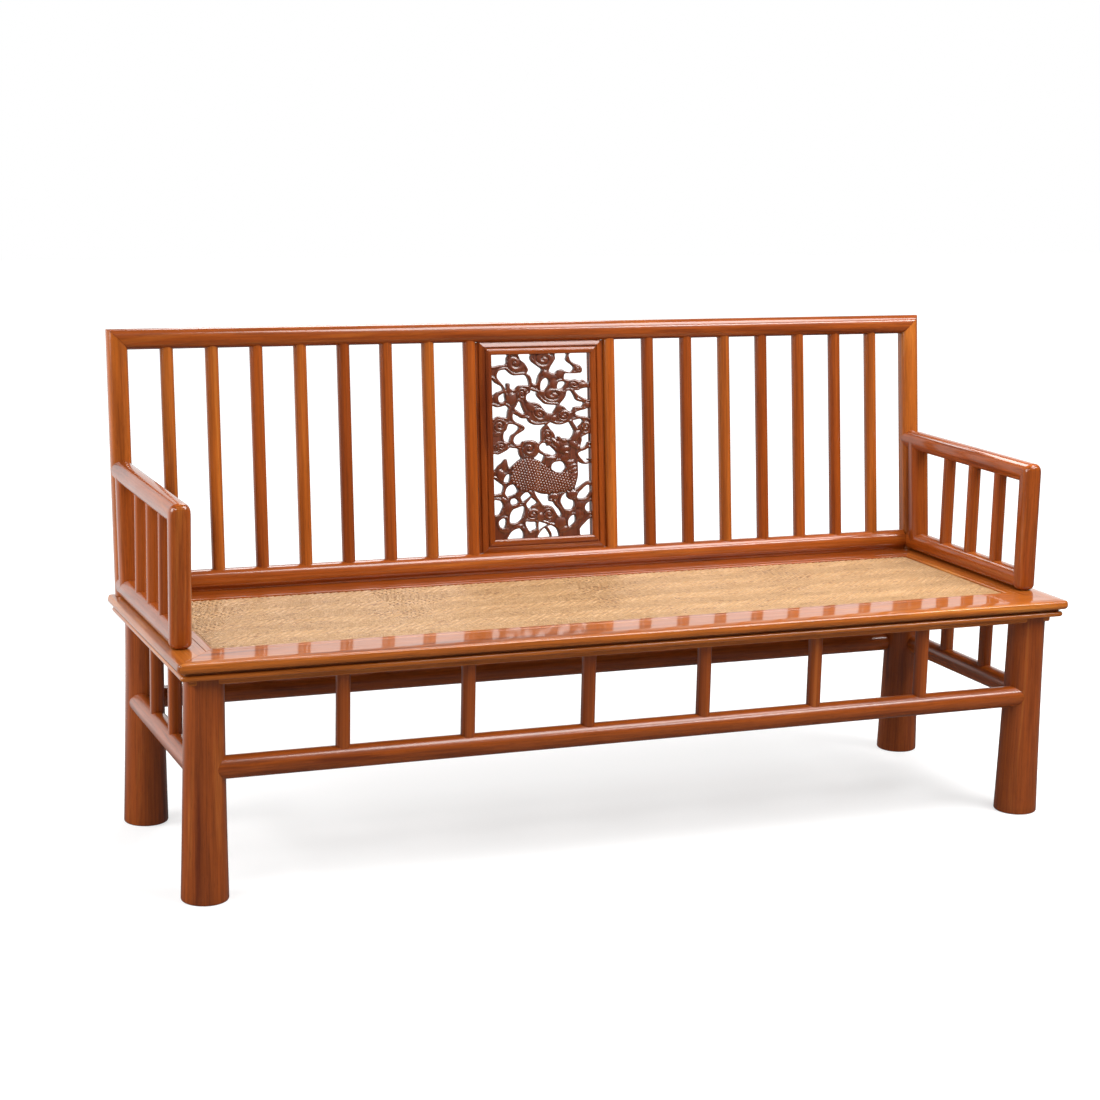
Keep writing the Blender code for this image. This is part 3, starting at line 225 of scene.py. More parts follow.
# Rounded masses: centre, half width, half height, tilt in degrees, height as a share of the relief
HAUNCH = (-54, -62, 24, 39, -14, 1.12)
MASSES = (
    # Flame bud and curl
    (-66, 99, 12, 14, 10, 0.98), (-70, 118, 6, 12, 4, 0.92), (-97, 102, 7, 12, -8, 0.9),
    # S-band arch and wing
    (20, 143, 20, 10, -25, 0.92), (29, 126, 10, 14, 5, 0.9), (42, 146, 11, 8, 35, 0.86),
    (93, 123, 11, 6, 0, 0.92), (103, 82, 8, 6, 0, 0.9),
    # Cloud lobes
    (-24, 81, 13, 9, -35, 0.9), (16, 59, 13, 8, -10, 0.88), (38, 77, 8, 9, 20, 0.9),
    (27, 56, 7, 7, 0, 0.86), (46, 110, 9, 5, -15, 0.92), (1, 109, 9, 6, -20, 0.92),
    (-96, 28, 11, 5, 15, 0.88), (-26, 7, 13, 6, 8, 0.9),
    HAUNCH,
    # Skull, brow, snout, jaws and cheek
    (43, -2, 20, 14, -20, 0.94), (40, 14, 6, 5, 0, 1.1), (48, 9, 7, 4, -5, 1.1), (30, 5, 13, 5, -44, 1.06),
    (14, 8, 8, 5, -30, 1.0), (23, -2, 16, 3, -40, 1.02), (50, -8, 12, 8, 10, 1.06),
    (53, -17, 9, 5, -20, 1.1), (19, -26, 14, 4, -4, 1.05), (51, -26, 11, 8, 25, 1.0),
    (72, 16, 18, 9, 42, 1.0), (70, 1, 13, 7, -35, 1.04), (81, -5, 9, 4, 15, 1.0),
    # Neck plates
    (61, -36, 11, 5, 8, 1.02), (65, -44, 11, 5, 14, 1.02), (68, -52, 11, 5, 22, 1.04),
    (69, -61, 11, 5, 30, 1.04), (69, -69, 10, 4, 38, 1.04), (68, -77, 10, 4, 46, 1.02),
    (65, -85, 10, 4, 52, 1.0),
    # Paws, toes and hoof
    (25, -105, 10, 7, 0, 1.04), (17, -113, 4, 4, 0, 1.0), (26, -115, 4, 4, 0, 1.0),
    (66, -102, 10, 9, 0, 1.04), (60, -111, 4, 4, 0, 1.0), (68, -112, 4, 4, 0, 1.0),
    (-51, -96, 10, 6, 25, 1.0),
    # Tail
    (-91, -57, 10, 13, 20, 0.98), (-83, -36, 7, 13, -16, 0.9),
    # Rocks
    (-84, -109, 11, 6, -35, 0.9), (-77, -125, 9, 14, -10, 0.96), (-87, -168, 13, 8, -20, 0.94),
    (-56, -163, 13, 5, 5, 0.9), (-43, -172, 9, 10, 30, 0.9), (-7, -146, 9, 10, 0, 0.92),
    (37, -160, 13, 14, -40, 0.98), (48, -173, 16, 6, 18, 0.92), (85, -127, 13, 14, -20, 0.94),
    (92, -113, 11, 6, 15, 0.9), (80, -143, 10, 12, 15, 0.92), (68, -166, 9, 6, 30, 0.9),
    (56, -138, 9, 5, -25, 0.9),
)
# Patch of the beast's coat: centre, width and height, and its lean in degrees
COAT = (0, -70, 210, 130)
COAT_LEAN = -14


def metres(description, default):
    """Length that the user can change."""
    return FloatProperty(description=description, default=default, unit="LENGTH", precision=4)


def number(description, default):
    return IntProperty(description=description, default=default, min=1)


def share(description, default):
    return FloatProperty(description=description, default=default, min=0, max=1, subtype="FACTOR")


def level(description, default):
    return FloatProperty(description=description, default=default, min=0)


def degrees(description, default):
    return FloatProperty(description=description, default=math.radians(default), subtype="ANGLE")


def paint(description, default):
    return FloatVectorProperty(description=description, default=default, min=0, max=1, subtype="COLOR")


class SeatSizes(bpy.types.PropertyGroup):
    """Seat frame with its stacked edge, mat and braces."""
    length: metres("Seat frame from end to end", 1.800)
    depth: metres("Seat frame from front to back", 0.594)
    height: metres("Top of the seat frame above the floor", 0.444)
    thickness: metres("Seat frame and edge strip together", 0.043)
    long_width: metres("Width of the front and back rails", 0.102)
    end_width: metres("Width of the end rails", 0.085)
    edge: metres("Thickness of the frame's rounded edge", 0.021)
    nose_in: metres("How far in the edge begins to fall", 0.021)
    nose_slope: metres("Fall from the flat top to the shoulder", 0.0013)
    shoulder: metres("Radius of the shoulder above the nose", 0.0045)
    nose_down: metres("Height of the nose below the flat top", 0.0095)
    nose_under: metres("Rounding below the nose", 0.0075)
    nose_lift: metres("Hollow under the nose, above the edge strip", 0.003)
    corner: metres("Rounding of the frame's corners seen from above", 0.011)
    strip_inset: metres("Edge strip behind the seat's edge", 0.007)
    strip_width: metres("Edge strip from front to back", 0.023)
    strip_shadow: metres("Dark groove above the edge strip", 0.0022)
    strip_rise: metres("Underside of the edge strip above the legs' packed tops", 0.0095)
    frame_drop: metres("Rails' underside below the edge strip's packed underside", 0.0044)
    batten: metres("Width of the batten that holds the mat's edge", 0.016)
    mat_recess: metres("Mat below the top of the frame", 0.0025)
    mat_thickness: metres("Thickness of the mat", 0.008)
    mat_play: metres("Gap between the mat and the frame", 0.0008)
    mat_ledge: metres("Ledge of the frame under the mat", 0.010)
    braces: number("Braces under the mat", 3)
    brace_width: metres("Width of a brace", 0.042)
    brace_height: metres("Height of a brace", 0.022)
    strand: metres("Distance between the strands of the weave", 0.0040)
    strand_rise: metres("How far a strand arches over its neighbours", 0.0009)
    herringbone: number("Strands before the twill turns back", 12)


class BaseSizes(bpy.types.PropertyGroup):
    """Legs, stretchers and struts."""
    leg_inset_x: metres("Leg axis in from the end of the seat", 0.059)
    leg_inset_y: metres("Leg axis in from the front and back of the seat", 0.061)
    leg_top: metres("Radius of a leg under the seat", 0.0362)
    leg_foot: metres("Radius of a leg at the floor", 0.0428)
    leg_flare: level("How late the leg widens towards the floor", 1.6)
    foot_round: metres("Rounding at the floor", 0.004)
    stretcher: metres("Radius of the stretchers", 0.021)
    stretcher_height: metres("Axis of the stretchers above the floor", 0.243)
    set_out: metres("Stretcher axis outside the leg axis", 0.013)
    strut: metres("Side of a strut", 0.025)
    strut_fullness: level("How square a strut's section is", 2.8)
    long_struts: number("Struts in front and behind", 6)
    long_pitch: metres("Distance between the struts in front", 0.237)
    end_struts: number("Struts at each end", 2)
    end_pitch: metres("Distance between the struts at an end", 0.147)


class BackSizes(bpy.types.PropertyGroup):
    """Raked back and the members it shares with the arms."""
    member: metres("Side of the posts and rails", 0.040)
    fullness: level("How square a member's section is", 2.4)
    spindle: metres("Radius of a spindle", 0.013)
    height: metres("Back along its slope", 0.510)
    rake: degrees("Lean of the back", 6.6)
    inset: metres("Foot of the back in from the seat's edge", 0.0253)
    lift: metres("Bottom rail above the seat", 0.001)
    spindles: number("Spindles on each side of the panel", 8)


class PanelSizes(bpy.types.PropertyGroup):
    """Carved panel and its mitred frame."""
    opening: metres("Width of the opening", 0.2164)
    frame_width: metres("Width of the mitred frame", 0.026)
    frame_thickness: metres("Thickness of the mitred frame", 0.020)
    bead: metres("Width of the bead along the opening", 0.0132)
    bead_rise: metres("Bead in front of the frame's face", 0.001)
    slope: metres("Fall of the frame's outer band", 0.0034)
    step: metres("Width of the low step outside the frame's side members", 0.0055)
    step_depth: metres("Low step behind the frame's face", 0.0075)
    groove: metres("Depth of the groove beside the bead", 0.0026)
    tuck: metres("Frame let into the rounded rails", 0.0024)
    side_play: metres("Gap beside the frame", 0.0063)
    rim: metres("Thickness of the board's rim", 0.006)
    rim_tongue: metres("Rim inside the frame's groove", 0.005)
    front: metres("Carving in front of the middle of the board", 0.0076)
    back: metres("Back of the carving behind the middle of the board", 0.0055)
    drawn_width: level("Width of the opening on the drawing, in millimetres", 216)
    drawn_height: level("Height of the opening on the drawing, in millimetres", 376)
    lip: metres("Rounding along the openings", 0.0026)
    grain: metres("Distance between the points of the carved face", 0.0015)
    scale_pitch: metres("Distance between the beast's scales", 0.0065)


class ArmSizes(bpy.types.PropertyGroup):
    """Arms with their posts and spindles."""
    inset: metres("Arm axis in from the end of the seat", 0.032)
    height: metres("Arm above the seat", 0.259)
    setback: metres("Front post behind the seat's edge", 0.1205)
    corner: metres("Rounding of the front corner", 0.012)
    foot: metres("Rounding at the foot of the front post", 0.011)
    spindles: number("Spindles in each arm", 3)
    first: metres("First spindle behind the front post", 0.1065)
    pitch: metres("Distance between the spindles", 0.097)


class Finishes(bpy.types.PropertyGroup):
    """Colours and gloss."""
    wood_dark: paint("Late wood of the lacquered timber", (0.190, 0.036, 0.005))
    wood_mid: paint("Main colour of the lacquered timber", (0.370, 0.084, 0.009))
    wood_light: paint("Early wood of the lacquered timber", (0.540, 0.165, 0.024))
    gloss: share("Strength of the lacquer's coat", 1.0)
    gloss_blur: share("Roughness of the lacquer's coat", 0.07)
    carved: paint("Stain on the carving, over the timber's colour", (0.54, 0.50, 0.74))
    # Painted shade: the dark colour laid into the carving's hollows, grooves and walls, where shade falls
    recess_shade: paint("Old wax in the hollows of the carving", (0.060, 0.010, 0.002))
    cane_light: paint("Palest strands of the mat", (0.61, 0.375, 0.19))
    cane_mid: paint("Main colour of the mat", (0.49, 0.277, 0.12))
    cane_dark: paint("Flecks and worn strands of the mat", (0.28, 0.13, 0.045))


class StageSettings(bpy.types.PropertyGroup):
    """Camera, floor and light."""
    lens: level("Focal length on a 36 mm sensor", 76.25)
    eye: FloatVectorProperty(
        description="Place of the camera", default=(-1.7843, -4.1112, 1.4284), subtype="TRANSLATION")
    yaw: degrees("Camera turned from +Y towards +X", 22.4152)
    pitch: degrees("Camera tipped down", 11.3258)
    roll: degrees("Camera turned about its axis", 1.3421)
    sky: level("Strength of the even light", 0.16)
    sky_top: level("More even light from above", 0.50)
    sky_left: level("More even light from the left", 0.24)
    sky_back: level("More even light from behind than from the front", 0.10)
    backdrop: level("Brightness of the white backdrop behind the bench in reflections", 1.0)
    room: level("Brightness of the studio in front of the bench in reflections", 0.04)
    floor: paint("Colour of the floor", (0.45, 0.45, 0.45))
    floor_near: level("Light that lifts the floor near the bench towards white", 0.60)
    floor_front: level("Brightness of the floor before the bench in reflections", 0.10)


class BenchSettings(bpy.types.PropertyGroup):
    """Everything that the operators read."""
    seat: PointerProperty(type=SeatSizes)
    base: PointerProperty(type=BaseSizes)
    back: PointerProperty(type=BackSizes)
    panel: PointerProperty(type=PanelSizes)
    arms: PointerProperty(type=ArmSizes)
    finish: PointerProperty(type=Finishes)
    stage: PointerProperty(type=StageSettings)


def places(bench):
    """Places that follow from the driving sizes; z is above the floor, levels are above the seat."""
    seat, base, back, panel, arms = bench.seat, bench.base, bench.back, bench.panel, bench.arms
    at = SimpleNamespace()
    at.half = back.member / 2
    at.gap = 0.0003
    at.mitre = 0.7 * at.gap
    at.frame_bottom = seat.height - seat.thickness
    at.edge_bottom = seat.height - seat.edge
    at.mat_top = seat.height - seat.mat_recess
    at.strip_bottom = at.frame_bottom + seat.strip_rise
    at.ledge = at.mat_top - seat.mat_thickness - at.gap
    at.hollow = seat.strip_inset + 0.008
    at.mitre_ratio = seat.end_width / seat.long_width
    at.leg_x = seat.length / 2 - base.leg_inset_x
    at.leg_y = seat.depth / 2 - base.leg_inset_y
    at.post_x = seat.length / 2 - arms.inset
    at.back_y = seat.depth / 2 - back.inset
    at.top_rail = back.height - back.member
    at.bottom_rail = back.member + back.lift
    at.panel_half = panel.opening / 2
    at.panel_outer = at.panel_half + panel.frame_width
    at.panel_low = at.bottom_rail + at.gap + panel.frame_width
    at.panel_high = at.top_rail - at.gap - panel.frame_width
    at.panel_middle = (at.panel_low + at.panel_high) / 2
    at.arm_bottom = arms.height - back.member
    at.arm_front = arms.setback - seat.depth / 2
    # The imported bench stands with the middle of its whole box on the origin
    seat_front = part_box("seat_rail_front")[0][1]
    at.bench = Matrix.Translation((0, seat_front + seat.depth / 2, 0))
    back_foot = Matrix.Translation((0, at.back_y, seat.height))
    at.rake = at.bench @ back_foot @ Matrix.Rotation(-back.rake, 4, "X")
    at.panel = at.rake @ Matrix.Translation((0, 0, at.panel_middle))
    return at


def four_sides(long_side, end_side):
    """Name and turn of each side of the bench, with what is given for that kind of side."""
    return (
        ("front", 0, long_side),
        ("back", math.pi, long_side),
        ("right", math.pi / 2, end_side),
        ("left", -math.pi / 2, end_side),
    )


def bench_of(context):
    bench = context.scene.bench
    return bench, places(bench)


def set_attribute(mesh, name, kind, values):
    attribute = mesh.attributes.new(name, kind, "POINT")
    key = "vector" if kind == "FLOAT_VECTOR" else "value"
    attribute.data.foreach_set(key, np.asarray(values, dtype=np.float32).ravel())


def loft(name, section, rings, axis, tones):
    """Closed skin over rings of one section, its grain along an axis and in a tone of its own."""
    points = [point for ring in rings for point in ring]
    grain = [(point[axis], a, b) for ring in rings for point, (a, b) in zip(ring, section)]
    sides = len(section)
    rows = [range(first, first + sides) for first in range(0, len(points), sides)]
    faces = []
    for low, high in zip(rows, rows[1:]):
        for k in range(sides):
            n = (k + 1) % sides
            faces.append((low[k], low[n], high[n], high[k]))
    faces += [tuple(reversed(rows[0])), tuple(rows[-1])]
    mesh = bpy.data.meshes.new(name)
    mesh.from_pydata(points, [], faces)

    # The name draws the piece of timber: where its grain was cut, and how light it is
    draw = zlib.crc32(name.encode())
    drawn = []
    for choices in TIMBER_CHOICES:
        draw, choice = divmod(draw, choices)
        drawn.append(choice)
    *cut, light = drawn
    tone = tones[0] + (tones[1] - tones[0]) * (light / (TIMBER_CHOICES[-1] - 1))
    set_attribute(mesh, "grain", "FLOAT_VECTOR", np.array(grain) + np.array(cut) * TIMBER_STEP)
    set_attribute(mesh, "tone", "FLOAT", np.full(len(points), tone))
    return mesh


def outward(mesh):
    """Turn the faces of closed shells outwards."""
    bm = bmesh.new()
    bm.from_mesh(mesh)
    bmesh.ops.recalc_face_normals(bm, faces=bm.faces)
    bm.to_mesh(mesh)
    bm.free()


def add_piece(name, mesh, material, nodes=(), place=Matrix(), sharp=SMOOTH_ANGLE, turned=False):
    """Finished piece: its place goes into its mesh, and it rides on the bench."""
    mesh.transform(place)
    if not turned:
        outward(mesh)
    mesh.shade_smooth()
    mesh.set_sharp_from_angle(angle=sharp)
    mesh.materials.clear()
    mesh.materials.append(material)
    piece = bpy.data.objects.new(name, mesh)
    bpy.context.scene.collection.objects.link(piece)
    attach(piece, "root")
    if nodes:
        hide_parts(*nodes)
    return piece


def add_wood(node, section, rings, axis, material, place=Matrix(), tones=TONES["plain"]):
    """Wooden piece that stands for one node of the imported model."""
    name = node + "_look"
    return add_piece(name, loft(name, section, rings, axis, tones), material, (node,), place)


def squircle(half, fullness, sides):
    """Section between a circle (fullness 2) and a square, anticlockwise."""
    points = []
    for k in range(sides):
        angle = 2 * math.pi * (k + 0.5) / sides
        a = math.cos(angle)
        b = math.sin(angle)
        reach = half / (abs(a) ** fullness + abs(b) ** fullness) ** (1 / fullness)
        points.append((reach * a, reach * b))
    return points


def falls_back(across, half, fullness):
    """How far a member's face falls back at this distance from its middle."""
    part = min(abs(across) / half, 1)
    return half - half * (1 - part ** fullness) ** (1 / fullness)


def toward(start, end, distance):
    """Ring moved a short way towards the next ring."""
    moved = []
    for p, q in zip(start, end):
        step = Vector(q) - Vector(p)
        moved.append(tuple(Vector(p) + step * (distance / max(step.length, distance))))
    return moved


def drawn_in(ring, distance):
    """Ring made slightly smaller about its middle."""
    middle = sum((Vector(p) for p in ring), Vector()) / len(ring)
    return [tuple(Vector(p) + (middle - Vector(p)).normalized() * distance) for p in ring]


def eased(rings):
    """Rings with both end arrises softened, so that joints show as fine lines."""
    first, last = rings[0], rings[-1]
    return [
        drawn_in(first, EASE),
        toward(first, rings[1], EASE),
        toward(first, rings[1], EASE_SUPPORT),
        *rings[1:-1],
        toward(last, rings[-2], EASE_SUPPORT),
        toward(last, rings[-2], EASE),
        drawn_in(last, EASE),
    ]


def rounded_foot(radius):
    """Heights up a rounded foot, and how far it is drawn in at each."""
    rounding = []
    for k in range(FOOT_STEPS + 1):
        angle = math.pi / 2 * k / FOOT_STEPS
        rounding.append((radius * (1 - math.cos(angle)), radius * (1 - math.sin(angle))))
    return rounding


def spread(count, pitch):
    """Places of a row that is centred on zero."""
    return [(k - (count - 1) / 2) * pitch for k in range(count)]


class Nodes:
    """Short calls for building a node tree."""

    def __init__(self, tree):
        self.tree = tree

    def give(self, socket, value):
        if value is None:
            return
        if isinstance(value, bpy.types.NodeSocket):
            self.tree.links.new(value, socket)
        else:
            socket.default_value = value

    def add(self, kind, *values, **options):
        """New node; values go to its inputs in order, and None leaves an input alone."""
        node = self.tree.nodes.new(kind)
        for key, value in options.items():
            setattr(node, key, value)
        for socket, value in zip(node.inputs, values):
            self.give(socket, value)
        return node

    def get(self, kind, *values, **options):
        """First output of a new node."""
        return self.add(kind, *values, **options).outputs[0]

    def math(self, operation, *values):
        return self.get("ShaderNodeMath", *values, operation=operation)

    plus = partialmethod(math, "ADD")
    minus = partialmethod(math, "SUBTRACT")
    times = partialmethod(math, "MULTIPLY")
    over = partialmethod(math, "DIVIDE")
    power = partialmethod(math, "POWER")
    absolute = partialmethod(math, "ABSOLUTE")
    largest = partialmethod(math, "MAXIMUM")
    times_plus = partialmethod(math, "MULTIPLY_ADD")

    def between(self, value, low, high, at_low=0.0, at_high=1.0):
        """Value stretched from one range to another."""
        return self.get("ShaderNodeMapRange", value, low, high, at_low, at_high)

    def vector(self, operation, *values):
        return self.get("ShaderNodeVectorMath", *values, operation=operation)

    def combine(self, x, y, z):
        return self.get("ShaderNodeCombineXYZ", x, y, z)

    def separate(self, vector):
        return self.add("ShaderNodeSeparateXYZ", vector).outputs

    def named(self, name, kind):
        return self.get("GeometryNodeInputNamedAttribute", name, data_type=kind)

    def store(self, geometry, name, kind, value, domain="POINT"):
        node = self.add(
            "GeometryNodeStoreNamedAttribute", geometry, None, name, data_type=kind, domain=domain)
        self.give(node.inputs["Value"], value)
        return node.outputs[0]

    def mix(self, factor, first, second, blend="MIX"):
        node = self.add("ShaderNodeMix", data_type="RGBA", blend_type=blend)
        self.give(node.inputs[0], factor)
        for socket, value in ((node.inputs[6], first), (node.inputs[7], second)):
            if isinstance(value, tuple) or hasattr(value, "r"):
                value = (*value[:3], 1)
            self.give(socket, value)
        return node.outputs[2]

    def ramp(self, factor, *stops):
        """Colour ramp through (place, colour) stops; a plain number is a grey."""
        node = self.add("ShaderNodeValToRGB", factor)
        elements = node.color_ramp.elements
        while len(elements) < len(stops):
            elements.new(0.5)
        for element, (place, tint) in zip(elements, stops):
            element.position = place
            element.color = (tint, tint, tint, 1) if isinstance(tint, (int, float)) else (*tint, 1)
        return node.outputs[0]

    def noise(self, vector, stretch, detail, roughness=0.5, distortion=0.0):
        """Noise on coordinates stretched by a factor along each axis."""
        mapped = self.vector("MULTIPLY", vector, stretch)
        node = self.add("ShaderNodeTexNoise", mapped)
        node.inputs["Scale"].default_value = 1
        node.inputs["Detail"].default_value = detail
        node.inputs["Roughness"].default_value = roughness
        node.inputs["Distortion"].default_value = distortion
        return node.outputs[0]

    def rays(self):
        """Sockets that tell the camera's rays and the reflected rays."""
        path = self.add("ShaderNodeLightPath").outputs
        mirror_ray = self.largest(path["Is Glossy Ray"], path["Is Transmission Ray"])
        return path["Is Camera Ray"], mirror_ray

    def bump(self, height, strength, distance, normal=None):
        node = self.add("ShaderNodeBump")
        node.inputs["Strength"].default_value = strength
        node.inputs["Distance"].default_value = distance
        self.give(node.inputs["Height"], height)
        self.give(node.inputs["Normal"], normal)
        return node.outputs[0]


def new_material(name):
    """Empty node material: its nodes and its Principled shader."""
    material = bpy.data.materials.new(name)
    material.use_nodes = True
    return material, Nodes(material.node_tree), material.node_tree.nodes["Principled BSDF"]


def lacquer(bench, name="red_brown_lacquer"):
    """Lacquered hardwood: figure, streaks and pores along the grain under a clear coat."""
    if name in bpy.data.materials:
        return bpy.data.materials[name]
    finish = bench.finish
    carved = name == "carved_lacquer"
    material, nodes, shader = new_material(name)
    grain = nodes.add("ShaderNodeAttribute", attribute_name="grain").outputs["Vector"]
    tone = nodes.add("ShaderNodeAttribute", attribute_name="tone").outputs["Fac"]

    figure = nodes.noise(grain, FIGURE, 5, 0.55, 0.7)
    colour = nodes.ramp(
        figure, (0.28, finish.wood_dark), (0.46, finish.wood_mid),
        (0.58, finish.wood_mid), (0.76, finish.wood_light))
    streaks = nodes.noise(grain, STREAKS, 4, 0.65)
    colour = nodes.mix(0.5, colour, nodes.ramp(streaks, (0.34, 0.42), (0.62, 1.12)), "MULTIPLY")
    pores = nodes.noise(grain, PORES, 1)
    colour = nodes.mix(0.5, colour, nodes.ramp(pores, (0.30, 0.35), (0.37, 1.0)), "MULTIPLY")
    piece_tone = nodes.ramp(
        tone, (0.0, (0.70, 0.60, 0.58)), (0.6, (1.0, 0.94, 0.9)), (1.0, (1.15, 1.40, 1.6)))
    colour = nodes.mix(1.0, colour, piece_tone, "MULTIPLY")
    if carved:
        # Painted shade: the carving is darkened towards the painted shade colour where its recess shade
        # attribute is high
        recess_shade = nodes.add("ShaderNodeAttribute", attribute_name="recess_shade").outputs["Fac"]
        colour = nodes.mix(1.0, colour, tuple(finish.carved), "MULTIPLY")
        colour = nodes.mix(nodes.ramp(recess_shade, (0.05, 0.0), (0.55, 0.95)), colour, tuple(finish.recess_shade))
    nodes.give(shader.inputs["Base Color"], colour)

    worn = nodes.noise(grain, WEAR, 3)
    nodes.give(shader.inputs["Roughness"], nodes.ramp(worn, (0.3, 0.30), (0.7, 0.46)))
    shader.inputs["Coat Weight"].default_value = finish.gloss
    shader.inputs["Coat Roughness"].default_value = finish.gloss_blur * LACQUERS[name]
    shader.inputs["Coat IOR"].default_value = 1.5
    shader.inputs["Specular IOR Level"].default_value = 0.5 if carved else 0.1
    fine = nodes.bump(pores, 0.12, 0.0004)
    nodes.give(shader.inputs["Normal"], nodes.bump(streaks, 0.10, 0.0006, fine))
    return material


def cane(bench):
    """Split cane: pale glossy strands with brown flecks, each strand a little different."""
    name = "woven_cane"
    if name in bpy.data.materials:
        return bpy.data.materials[name]
    finish = bench.finish
    material, nodes, shader = new_material(name)
    place = nodes.add("ShaderNodeTexCoord").outputs["Object"]
    tone = nodes.add("ShaderNodeAttribute", attribute_name="tone").outputs["Fac"]
    streak = nodes.noise(place, CANE_STREAKS, 4, 0.65)
    mixed = nodes.times_plus(streak, 0.7, nodes.times_plus(tone, 0.6, -0.15))
    colour = nodes.ramp(
        mixed, (0.14, finish.cane_dark), (0.27, finish.cane_mid),
        (0.50, finish.cane_mid), (0.80, finish.cane_light))
    flecks = nodes.noise(place, CANE_FLECKS, 2, 0.6)
    colour = nodes.mix(nodes.ramp(flecks, (0.30, 0.45), (0.37, 0.0)), colour, tuple(finish.cane_dark))
    nodes.give(shader.inputs["Base Color"], colour)
    nodes.give(shader.inputs["Roughness"], nodes.ramp(streak, (0.3, 0.42), (0.7, 0.62)))
    shader.inputs["Coat Weight"].default_value = 0.12
    shader.inputs["Coat Roughness"].default_value = 0.3
    fibres = nodes.noise(place, CANE_FIBRES, 2)
    nodes.give(shader.inputs["Normal"], nodes.bump(fibres, 0.2, 0.0003))
    return material


def new_geometry_tree(name, sockets):
    """Geometry Nodes tree with these inputs; gives its nodes and its inputs by name."""
    tree = bpy.data.node_groups.new(name, "GeometryNodeTree")
    tree.interface.new_socket("Geometry", in_out="OUTPUT", socket_type="NodeSocketGeometry")
    for label, kind in sockets:
        tree.interface.new_socket(label, in_out="INPUT", socket_type="NodeSocket" + kind)
    nodes = Nodes(tree)
    return nodes, nodes.add("NodeGroupInput").outputs


def finish_tree(nodes, geometry, material):
    """End of every tree: real geometry with its material."""
    real = nodes.get("GeometryNodeRealizeInstances", geometry)
    painted = nodes.get("GeometryNodeSetMaterial", real, None, material)
    nodes.tree.links.new(painted, nodes.add("NodeGroupOutput").inputs[0])


def grow(name, tree, values):
    """Plain mesh that a tree gives for these values."""
    host = bpy.data.objects.new(name + "_host", bpy.data.meshes.new(name + "_host"))
    bpy.context.scene.collection.objects.link(host)
    modifier = host.modifiers.new(tree.name, "NODES")
    identifiers = {
        item.name: item.identifier for item in tree.interface.items_tree
        if item.item_type == "SOCKET" and item.in_out == "INPUT"
    }
    modifier.node_group = tree
    for label, value in values.items():
        modifier[identifiers[label]] = value
    depsgraph = bpy.context.evaluated_depsgraph_get()
    mesh = bpy.data.meshes.new_from_object(host.evaluated_get(depsgraph))
    mesh.name = name
    host.modifiers.remove(modifier)
    bpy.data.objects.remove(host, do_unlink=True)
    return mesh


def upright_tree():
    """Row of uprights along X, round or squarish, cut at both ends to the rounded rails they meet."""
    if "upright_row" in bpy.data.node_groups:
        return bpy.data.node_groups["upright_row"]
    nodes, given = new_geometry_tree("upright_row", (
        ("Count", "Int"), ("Pitch", "Float"), ("Start", "Float"), ("Half width", "Float"),
        ("Fullness", "Float"), ("Foot", "Float"), ("Head", "Float"), ("Foot rail", "Float"),
        ("Head rail", "Float"), ("Rail fullness", "Float"), ("Across", "Vector"), ("Sides", "Int"),
        ("Seed", "Int"), ("Material", "Material"), ("Darkest", "Float"), ("Lightest", "Float"),
    ))
    tube = nodes.get("GeometryNodeMeshCylinder", given["Sides"], 10, 1, 1.0, 1.0)
    x, y, z = nodes.separate(nodes.get("GeometryNodeInputPosition"))
    powers = [nodes.power(nodes.absolute(side), given["Fullness"]) for side in (x, y)]
    root = nodes.power(nodes.plus(*powers), nodes.over(1.0, given["Fullness"]))
    reach = nodes.over(given["Half width"], root)
    a = nodes.times(x, reach)
    b = nodes.times(y, reach)
    spot = nodes.combine(a, b, 0.0)
    dot = nodes.add("ShaderNodeVectorMath", spot, given["Across"], operation="DOT_PRODUCT")
    across = nodes.absolute(dot.outputs["Value"])
    rail_fullness = given["Rail fullness"]

    def scribe(rail):
        """How far a rounded rail has fallen back where the upright meets it."""
        part = nodes.power(nodes.over(across, rail), rail_fullness)
        left = nodes.power(nodes.minus(1.0, part), nodes.over(1.0, rail_fullness))
        return nodes.times(rail, nodes.minus(1.0, left))

    foot = nodes.minus(given["Foot"], scribe(given["Foot rail"]))
    head = nodes.plus(given["Head"], scribe(given["Head rail"]))
    way = nodes.plus(z, 0.5)
    height = nodes.times_plus(way, nodes.minus(head, foot), foot)
    shaped = nodes.get("GeometryNodeSetPosition", tube, None, nodes.combine(a, b, height))
    shaped = nodes.store(shaped, "grain", "FLOAT_VECTOR", nodes.combine(height, a, b))

    start = nodes.combine(given["Start"], 0.0, 0.0)
    step = nodes.combine(given["Pitch"], 0.0, 0.0)
    line = nodes.get("GeometryNodeMeshLine", given["Count"], None, start, step)
    row = nodes.get("GeometryNodeInstanceOnPoints", line, None, shaped)
    chance = nodes.add("FunctionNodeRandomValue", data_type="FLOAT")
    nodes.give(chance.inputs["Seed"], given["Seed"])
    nodes.give(chance.inputs[2], given["Darkest"])
    nodes.give(chance.inputs[3], given["Lightest"])
    row = nodes.store(row, "tone", "FLOAT", chance.outputs[1], "INSTANCE")
    shift = nodes.add("FunctionNodeRandomValue", (0, 0, 0), (9, 9, 9), data_type="FLOAT_VECTOR")
    nodes.give(shift.inputs["Seed"], given["Seed"])
    row = nodes.store(row, "shift", "FLOAT_VECTOR", shift.outputs[0], "INSTANCE")
    real = nodes.get("GeometryNodeRealizeInstances", row)
    moved = nodes.vector("ADD", *(nodes.named(name, "FLOAT_VECTOR") for name in ("grain", "shift")))
    finish_tree(nodes, nodes.store(real, "grain", "FLOAT_VECTOR", moved), given["Material"])
    return nodes.tree


